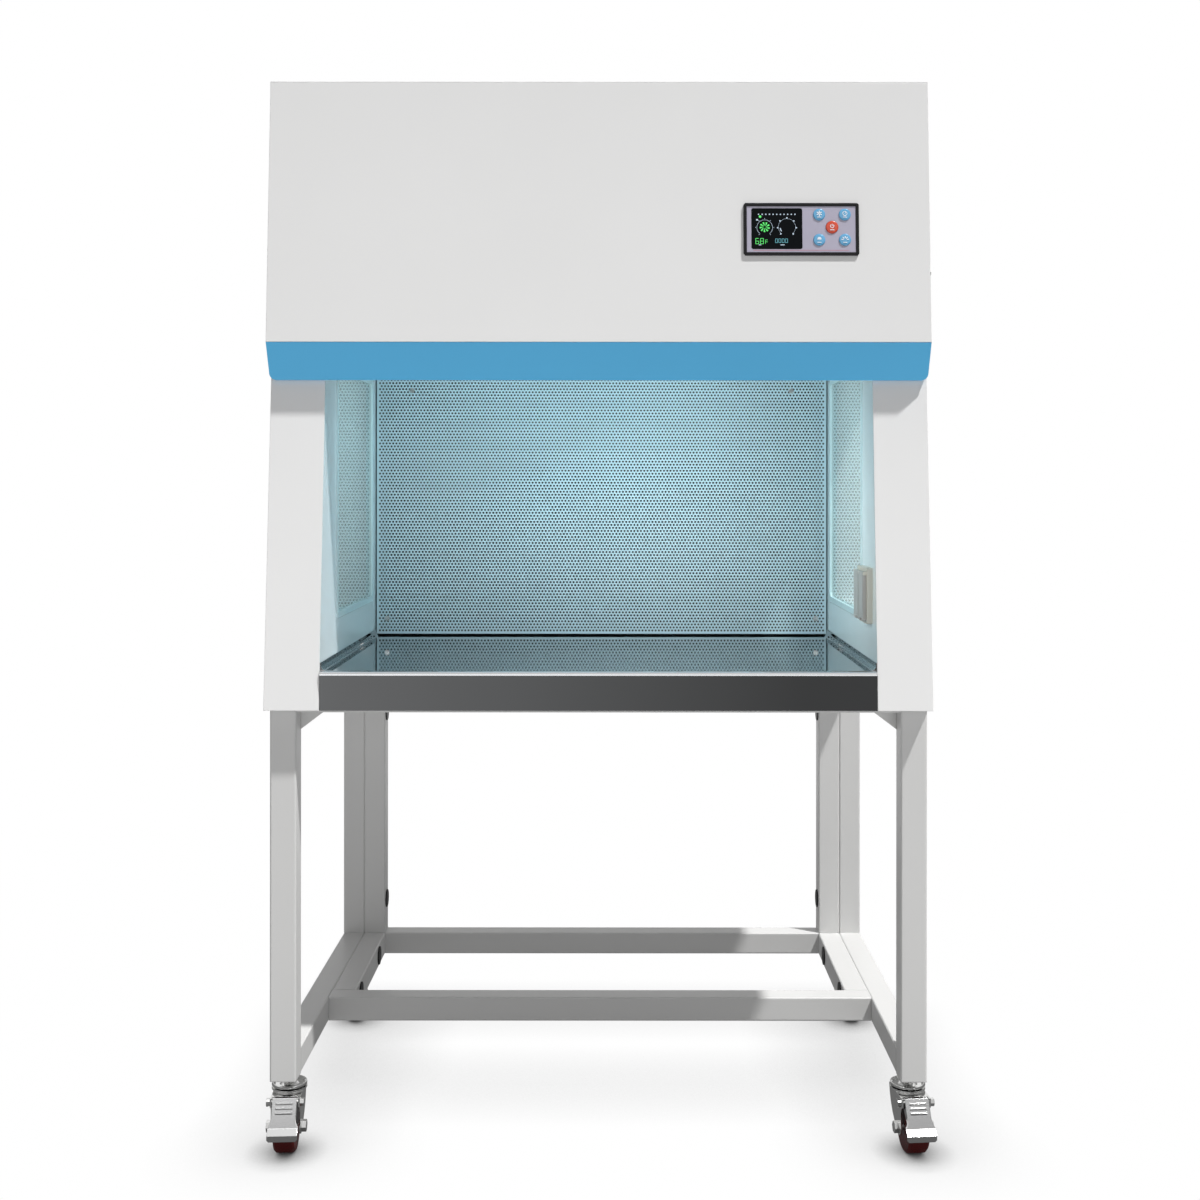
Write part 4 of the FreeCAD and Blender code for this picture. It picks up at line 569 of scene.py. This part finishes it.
def perforated_plate():
    """Front sheet with staggered rows of round holes, and the returns behind its edges."""
    low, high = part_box("diffuser_plate")
    rows = int((high.z - low.z - 2 * HOLE_MARGIN) / ROW_PITCH)
    columns = int((high.x - low.x - 2 * HOLE_MARGIN) / HOLE_PITCH)
    first_z = (low.z + high.z - rows * ROW_PITCH) / 2
    first_x = (low.x + high.x - columns * HOLE_PITCH) / 2
    reach = HOLE_RADIUS / math.cos(math.pi / HOLE_SIDES)
    ring = [arc_point((0, 0), reach, 360 * (i + 0.5) / HOLE_SIDES) for i in range(HOLE_SIDES)]
    side = HOLE_SIDES // 4
    vertices, faces = [], []

    def quad(x0, x1, z0, z1):
        first = len(vertices)
        vertices.extend([(x0, low.y, z0), (x1, low.y, z0), (x1, low.y, z1), (x0, low.y, z1)])
        faces.append([first, first + 1, first + 2, first + 3])

    def cell(x0, z0):
        """One pitch of sheet around one hole, as four faces that meet at the corners."""
        first = len(vertices)
        x1, z1 = x0 + HOLE_PITCH, z0 + ROW_PITCH
        vertices.extend([(x1, low.y, z1), (x0, low.y, z1), (x0, low.y, z0), (x1, low.y, z0)])
        centre_x, centre_z = (x0 + x1) / 2, (z0 + z1) / 2
        vertices.extend([(centre_x + a, low.y, centre_z + b) for a, b in ring])
        for k in range(4):
            hole = [first + 4 + (k * side + i) % HOLE_SIDES for i in range(side + 1)]
            faces.append([first + (k - 1) % 4, first + k] + hole[::-1])

    for row in range(rows):
        z0 = first_z + row * ROW_PITCH
        shift = HOLE_PITCH / 2 if row % 2 else 0.0
        count = columns - 1 if row % 2 else columns
        quad(low.x, first_x + shift, z0, z0 + ROW_PITCH)
        quad(first_x + shift + count * HOLE_PITCH, high.x, z0, z0 + ROW_PITCH)
        for column in range(count):
            cell(first_x + shift + column * HOLE_PITCH, z0)
    quad(low.x, high.x, low.z, first_z)
    quad(low.x, high.x, first_z + rows * ROW_PITCH, high.z)
    corners = [(low.x, low.z), (high.x, low.z), (high.x, high.z), (low.x, high.z)]
    for (xa, za), (xb, zb) in zip(corners, corners[1:] + corners[:1]):
        first = len(vertices)
        vertices.extend([(xa, low.y, za), (xb, low.y, zb), (xb, high.y, zb), (xa, high.y, za)])
        faces.append([first, first + 1, first + 2, first + 3])
    plate = piece("perforated_plate", vertices, faces, PLATE_STEEL, "cabinet")
    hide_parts("diffuser_plate")


# Control module

def module_matrix(centre, lift):
    """Frame on the sloping module: local x to the right, y up the slope and z out of it."""
    outward = Vector((0, -math.cos(HEAD_LEAN), math.sin(HEAD_LEAN)))
    up = Vector((0, math.sin(HEAD_LEAN), math.cos(HEAD_LEAN)))
    right = Vector((1, 0, 0))
    turn = Matrix((right, up, outward)).transposed().to_4x4()
    return Matrix.Translation(centre + outward * lift) @ turn


def face_matrix(node, lift):
    """Frame on the front face of one of the module's flat pieces."""
    low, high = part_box(node)
    depth = high.y - low.y
    rise = (high.z - low.z) * math.sin(HEAD_LEAN)
    thickness = (depth - rise) / math.cos(HEAD_LEAN)
    return module_matrix((low + high) / 2, thickness / 2 + lift)


def digit(art, character, left, low, width, height, stroke):
    """A seven-bar figure."""
    bars = {"0": "abcdef", "6": "acdefg", "8": "abcdefg", "F": "aefg"}[character]
    middle, top, right = low + height / 2, low + height, left + width
    lines = {
        "a": ((left, top), (right, top)),
        "b": ((right, top), (right, middle)),
        "c": ((right, middle), (right, low)),
        "d": ((left, low), (right, low)),
        "e": ((left, low), (left, middle)),
        "f": ((left, middle), (left, top)),
        "g": ((left, middle), (right, middle)),
    }
    for bar in bars:
        art.stroke(lines[bar], stroke)


def fan_blades(art, centre, radius, count, sweep, root=0.22, root_sweep=0.2, tip_start=0.45):
    """A wheel of curved blades. The root is a share of the radius, and the other two of the sweep."""
    for i in range(count):
        turn = 360 / count * i
        inner = arc_points(centre, radius * root, turn, turn + sweep * root_sweep, 1)
        outer = arc_points(centre, radius, turn + sweep * tip_start, turn + sweep, 3)
        art.shape([inner[0]] + outer + [inner[1]])


def dial(art, centre, ring, line, turns, reach, dot, sides):
    """An open ring with dots around it."""
    art.stroke(arc_points(centre, ring, DIAL_START, DIAL_END, DIAL_STEPS), line)
    for turn in turns:
        art.dot(arc_point(centre, reach, turn), dot, sides)


def screen_art():
    """Dials, scale and figures on the display."""
    low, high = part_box("display_screen")
    unit = (high.x - low.x) / 100
    matrix = face_matrix("display_screen", ART_LIFT)

    white = Flat(matrix, unit)
    for i in range(SCALE_DOTS):
        white.dot((SCALE_START + SCALE_PITCH * i, SCALE_LEVEL), radius=1.4, sides=8)
    dial(white, FAN_DIAL, ring=15.5, line=0.55, turns=(DIAL_START, 180, 130, 90, 50, 0, DIAL_END),
         reach=18, dot=0.7, sides=8)
    dial(white, GAUGE, ring=17, line=0.35, turns=(228, 184, 138, 90, 42, -4, -48),
         reach=18.5, dot=1.5, sides=10)
    needle = arc_points(GAUGE, radius=13.5, start=188, end=218, steps=4)
    white.stroke(needle, width=1.8)
    white.bar(left=-36, right=-31, low=-33.5, high=-32)
    white.bar(left=7, right=15, low=-33.5, high=-32)
    white.bar(left=-41, right=-37, low=16, high=19)
    white.build("screen_white", GLOW_WHITE, "cabinet")

    green = Flat(matrix, unit)
    fan_blades(green, FAN_CENTRE, radius=10, count=9, sweep=38)
    green.dot((-33, 24), radius=2.6, sides=10)
    for left, character in ((-42, "6"), (-32.6, "8")):
        digit(green, character, left, low=-30.6, width=6.0, height=10.8, stroke=1.0)
    digit(green, "F", left=-22.6, low=-30.4, width=4.2, height=7.6, stroke=0.9)
    green.build("screen_green", GLOW_GREEN, "cabinet")

    cyan = Flat(matrix, unit)
    for left in (-3, 3.6, 10.2, 16.8):
        digit(cyan, "0", left, low=-28.2, width=4.2, height=7.6, stroke=0.8)
    cyan.build("screen_cyan", GLOW_CYAN, "cabinet")


def keypad_line():
    """Thin pink line along the lower edge of the keypad."""
    low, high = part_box("keypad_plate")
    half_width = (high.x - low.x) / 2
    half_height = (high.z - low.z) / 2
    reach = half_width * LINE_REACH_SHARE
    line = Flat(face_matrix("keypad_plate", ART_LIFT))
    line.bar(-reach, reach, -half_height * LINE_LOW_SHARE, -half_height * LINE_HIGH_SHARE)
    line.build("keypad_line", PINK_LINE, "cabinet")


def rays(art, centre, inner, outer, turns, width):
    """Short lines that point away from a centre."""
    for turn in turns:
        art.stroke([arc_point(centre, inner, turn), arc_point(centre, outer, turn)], width)


def key_icon(art, name):
    """A plain picture for each key over a bar, in shares of the key's radius."""
    if name == "fan_key":
        rays(art, (0, 0.16), inner=0.06, outer=0.48, turns=range(30, 360, 60), width=0.15)
    elif name == "lamp_key":
        art.stroke(arc_points((0, 0.15), radius=0.36, start=0, end=360, steps=20), width=0.10)
        art.stroke([(0, 0.15), (0.16, 0.42)], width=0.10)
    elif name == "power_key":
        art.stroke(arc_points((0, 0.14), radius=0.27, start=120, end=420, steps=20), width=0.10)
        art.stroke([(0, 0.18), (0, 0.50)], width=0.10)
    elif name == "socket_key":
        art.shape(arc_points((0, 0.10), radius=0.34, start=0, end=180, steps=14))
        art.bar(left=-0.34, right=0.34, low=0.0, high=0.08)
    else:
        rays(art, (0, -0.04), inner=0.26, outer=0.64, turns=range(10, 180, 40), width=0.14)
    art.bar(left=-0.34, right=0.34, low=-0.52, high=-0.40)


def key_profile(radius, depth):
    """Outline of a key from its back to its crown, with a rounded edge. The crown lies at height 0."""
    profile = [(0, -depth), (radius, -depth)]
    for i in range(KEY_STEPS + 1):
        turn = math.pi / 2 * i / KEY_STEPS
        share = KEY_CROWN_SHARE + (1 - KEY_CROWN_SHARE) * math.cos(turn)
        profile.append((radius * share, KEY_EDGE_RISE * math.sin(turn) - KEY_EDGE_DROP))
    return profile + [(radius * KEY_MID_SHARE, -KEY_MID_DROP), (0, 0)]


def domed_keys():
    """Glossy domed keys with a white picture on each."""
    for joint in frame["joints"]:
        if joint["type"] != "slide":
            continue
        name = joint["name"].replace("_press", "_key")
        low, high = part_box(name)
        matrix = face_matrix(name, 0)
        depth = 2 * (matrix.translation - (low + high) / 2).length
        radius = (high.x - low.x) / 2 * KEY_SHARE
        vertices, faces = lathe(key_profile(radius, depth), KEY_SIDES)
        look = KEY_RED if name == "power_key" else KEY_BLUE
        dome = piece(name + "_dome", vertices, faces, look, joint["child"], matrix, smooth=True)
        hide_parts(name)
        art = Flat(face_matrix(name, ICON_LIFT), radius)
        key_icon(art, name)
        art.build(name + "_icon", ICON_WHITE, joint["child"])


# Casters

def race_profile(bottom, leg_low):
    """Outline of an upper race: rolled rim, dish and hub, and the stem from there up to the leg."""
    top = bottom + RACE_HEIGHT
    floor = top - DISH_DEPTH
    edge_width, edge_height = RACE_EDGE
    rim = arc_points((RACE_RADIUS - DISH_LIP, top - DISH_LIP), DISH_LIP, 0, 90, LIP_STEPS)
    under = [(0.0, bottom), (RACE_RADIUS - edge_width, bottom), (RACE_RADIUS, bottom + edge_height)]
    dish = [(RACE_RADIUS - DISH_LIP_INSET, top - DISH_LIP / 2), (RACE_RADIUS - DISH_WALL, floor)]
    hub = [(HUB_FOOT, floor), (HUB_SHOULDER, top - HUB_SHOULDER_DROP), (HUB_RADIUS, top)]
    stem = [(STEM_RADIUS, top), (STEM_RADIUS, leg_low), (0, leg_low)]
    return under + rim + dish + hub + stem


def lock_nut(name, leg_low, place):
    """Hexagon nut against the leg's lower end."""
    corners = [arc_point((0, 0), NUT_REACH, 360 / NUT_SIDES * i + NUT_TURN) for i in range(NUT_SIDES)]
    vertices = [(*corner, leg_low - NUT_HEIGHT) for corner in corners]
    vertices += [(*corner, leg_low) for corner in corners]
    faces = [[i, (i + 1) % NUT_SIDES, NUT_SIDES + (i + 1) % NUT_SIDES, NUT_SIDES + i]
             for i in range(NUT_SIDES)]
    faces.append(list(reversed(range(NUT_SIDES))))
    piece(name, vertices, faces, ZINC, "cabinet", place)


def kingpin(name, bottom, place):
    """Pin that hangs from the race through the fork."""
    end = bottom - KINGPIN_LENGTH
    vertices, faces = lathe([(0, end), (KINGPIN_RADIUS, end), (KINGPIN_RADIUS, bottom)], KINGPIN_SIDES)
    piece(name, vertices, faces, ZINC, "cabinet", place, smooth=True)


def caster_heads():
    """Dished upper races on their stems, each with its lock nut and kingpin."""
    leg_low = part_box("left_side_frame")[0].z
    for joint in frame["joints"]:
        if not joint["name"].endswith("_swivel_turn"):
            continue
        name = joint["name"].replace("_swivel_turn", "")
        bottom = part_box(name + "_fork")[1].z + RACE_LIFT
        place = Matrix.Translation((joint["pos_m"][0], joint["pos_m"][1], 0))
        vertices, faces = lathe(race_profile(bottom, leg_low))
        piece(name + "_head", vertices, faces, ZINC, "cabinet", place, smooth=True)
        lock_nut(name + "_lock_nut", leg_low, place)
        kingpin(name + "_kingpin", bottom, place)
    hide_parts("caster_stems")


# Light, floor and camera

def white_world():
    """The camera sees a white backdrop. Metal and glass see it only straight behind the cabinet, and else
    the soft studio that lights the rest."""
    world = bpy.data.worlds.new("studio")
    scene.world = world
    world.use_nodes = True
    nodes = Nodes(world.node_tree, "ShaderNodeOutputWorld")
    direction = nodes.add("ShaderNodeSeparateXYZ")
    nodes.put(direction, 0, nodes.place("Generated"))
    x, y, z = direction.outputs
    path = nodes.add("ShaderNodeLightPath").outputs
    glossy = path["Is Glossy Ray"]

    from_left = nodes.range(x, start=LEFT_END, end=RIGHT_START)
    front = nodes.mix(from_left, grey(LEFT_SHADE), grey(RIGHT_SHADE))
    side = nodes.mix_levels(glossy, SIDE_SHADE, SIDE_MIRROR)
    horizon = nodes.mix(nodes.range(y, start=FRONT_START, end=FRONT_END), front, side)
    zenith = nodes.mix_levels(glossy, ZENITH_SHADE, ZENITH_MIRROR)
    studio = nodes.background(nodes.mix(nodes.range(z, start=SKY_START), horizon, zenith))

    backdrop = nodes.background(grey(BACKDROP_WHITE))
    behind = nodes.range(y, start=BACKDROP_START, end=BACKDROP_END)
    mirrored = nodes.math("MAXIMUM", glossy, path["Is Transmission Ray"])
    shown = nodes.math("MAXIMUM", path["Is Camera Ray"], nodes.math("MULTIPLY", mirrored, behind))
    nodes.surface(nodes.mix_shaders(shown, studio, backdrop))


def floor_look():
    """Glows white for the camera, takes soft shadows and fades into the backdrop."""
    material = bpy.data.materials.new("floor_look")
    material.use_nodes = True
    nodes = Nodes(material.node_tree)
    place = nodes.place()
    length = nodes.add("ShaderNodeVectorMath", operation="LENGTH")
    nodes.put(length, 0, place)
    distance = length.outputs["Value"]
    path = nodes.add("ShaderNodeLightPath").outputs

    shadow = nodes.occlusion(SHADOW_REACH, SHADOW_CONTRAST)
    contact = nodes.occlusion(CONTACT_REACH, CONTACT_CONTRAST)
    grain = nodes.range(nodes.noise(place, FLOOR_GRAIN_SCALE), low=FLOOR_GRAIN)
    shade = nodes.math("MULTIPLY", nodes.math("MULTIPLY", shadow, contact), grain)
    bounce = nodes.range(distance, FLOOR_UNDER, FLOOR_BOUNCE, BOUNCE_START, BOUNCE_END)
    lit = nodes.mix_levels(path["Is Glossy Ray"], bounce, FLOOR_MIRROR)
    seen = nodes.math("MAXIMUM", path["Is Camera Ray"], path["Is Transmission Ray"])
    glow = nodes.add("ShaderNodeEmission")
    nodes.put(glow, "Color", grey(BACKDROP_WHITE))
    nodes.put(glow, "Strength", nodes.math("MULTIPLY", shade, nodes.math("MAXIMUM", seen, lit)))
    fade = nodes.range(distance, start=FLOOR_FADE_START, end=FLOOR_FADE_END)
    nodes.surface(nodes.mix_shaders(fade, glow.outputs[0], nodes.transparent(grey(1.0))))
    return material


def white_floor():
    """A pale floor just under the wheels."""
    reach = FLOOR_REACH / 2
    mesh = bpy.data.meshes.new("floor")
    mesh.from_pydata([(-reach, -reach, 0), (reach, -reach, 0), (reach, reach, 0), (-reach, reach, 0)], [],
                     [(0, 1, 2, 3)])
    mesh.materials.append(floor_look())
    floor = bpy.data.objects.new("floor", mesh)
    floor.location.z = CAD_BOX[0][2] - FLOOR_DROP
    scene.collection.objects.link(floor)


def lamp(name, kind, power, colour, place, target, **values):
    """A lamp at a place that points at a target."""
    light = bpy.data.lights.new(name, kind)
    light.energy = power
    light.color = colour
    for key, value in values.items():
        setattr(light, key, value)
    made = bpy.data.objects.new(name, light)
    made.location = place
    made.rotation_euler = (Vector(target) - Vector(place)).to_track_quat("-Z", "Y").to_euler()
    scene.collection.objects.link(made)
    return made


def chamber_light(name, power, colour, place, aim, share, height):
    """A lamp in front of the air wall that doesn't show itself."""
    low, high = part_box("diffuser_plate")
    made = lamp(name, "AREA", power, colour, place, (aim[0], low.y, aim[1]),
                shape="RECTANGLE", size=(high.x - low.x) * share, size_y=height)
    made.visible_glossy = False
    made.visible_camera = False


def strip_light(name, power, place, height):
    """A strip in front that only metal and gloss show."""
    made = lamp(name, "AREA", power, WHITE, place, STRIP_TARGET,
                shape="RECTANGLE", size=STRIP_WIDTH, size_y=height)
    made.visible_diffuse = False
    made.visible_camera = False


def lights():
    """A key from above in front, a weaker fill, two lamps in the chamber and two strips."""
    lamp("key_light", "SUN", KEY_POWER, KEY_COLOUR, KEY_PLACE, SUN_TARGET, angle=math.radians(KEY_SPREAD))
    fill = lamp("fill_light", "SUN", FILL_POWER, WHITE, FILL_PLACE, SUN_TARGET,
                angle=math.radians(FILL_SPREAD))
    fill.visible_glossy = False
    chamber_light("chamber_light", CHAMBER_POWER, CHAMBER_COLOUR, CHAMBER_PLACE, CHAMBER_AIM,
                  CHAMBER_WIDTH_SHARE, CHAMBER_HEIGHT)
    chamber_light("spill_light", SPILL_POWER, SPILL_COLOUR, SPILL_PLACE, SPILL_AIM,
                  SPILL_WIDTH_SHARE, SPILL_HEIGHT)
    strip_light("high_strip_light", HIGH_STRIP_POWER, HIGH_STRIP_PLACE, HIGH_STRIP_HEIGHT)
    strip_light("low_strip_light", LOW_STRIP_POWER, LOW_STRIP_PLACE, LOW_STRIP_HEIGHT)


def camera():
    """The photograph's camera: level, with its horizon moved by a shift of the lens."""
    data = bpy.data.cameras.new("camera")
    data.sensor_width = SENSOR
    data.lens = SENSOR * FOCAL_PIXELS / IMAGE_SIZE
    data.shift_x = 0.5 - HORIZON_CENTRE[0] / IMAGE_SIZE
    data.shift_y = HORIZON_CENTRE[1] / IMAGE_SIZE - 0.5
    made = bpy.data.objects.new("camera", data)
    made.location = CAMERA_PLACE
    made.rotation_euler = (math.pi / 2, CAMERA_ROLL, 0)
    scene.collection.objects.link(made)
    scene.camera = made


dress_cad_nodes()
perforated_plate()
screen_art()
keypad_line()
domed_keys()
caster_heads()
white_world()
white_floor()
lights()
camera()
scene.view_settings.view_transform = "Standard"
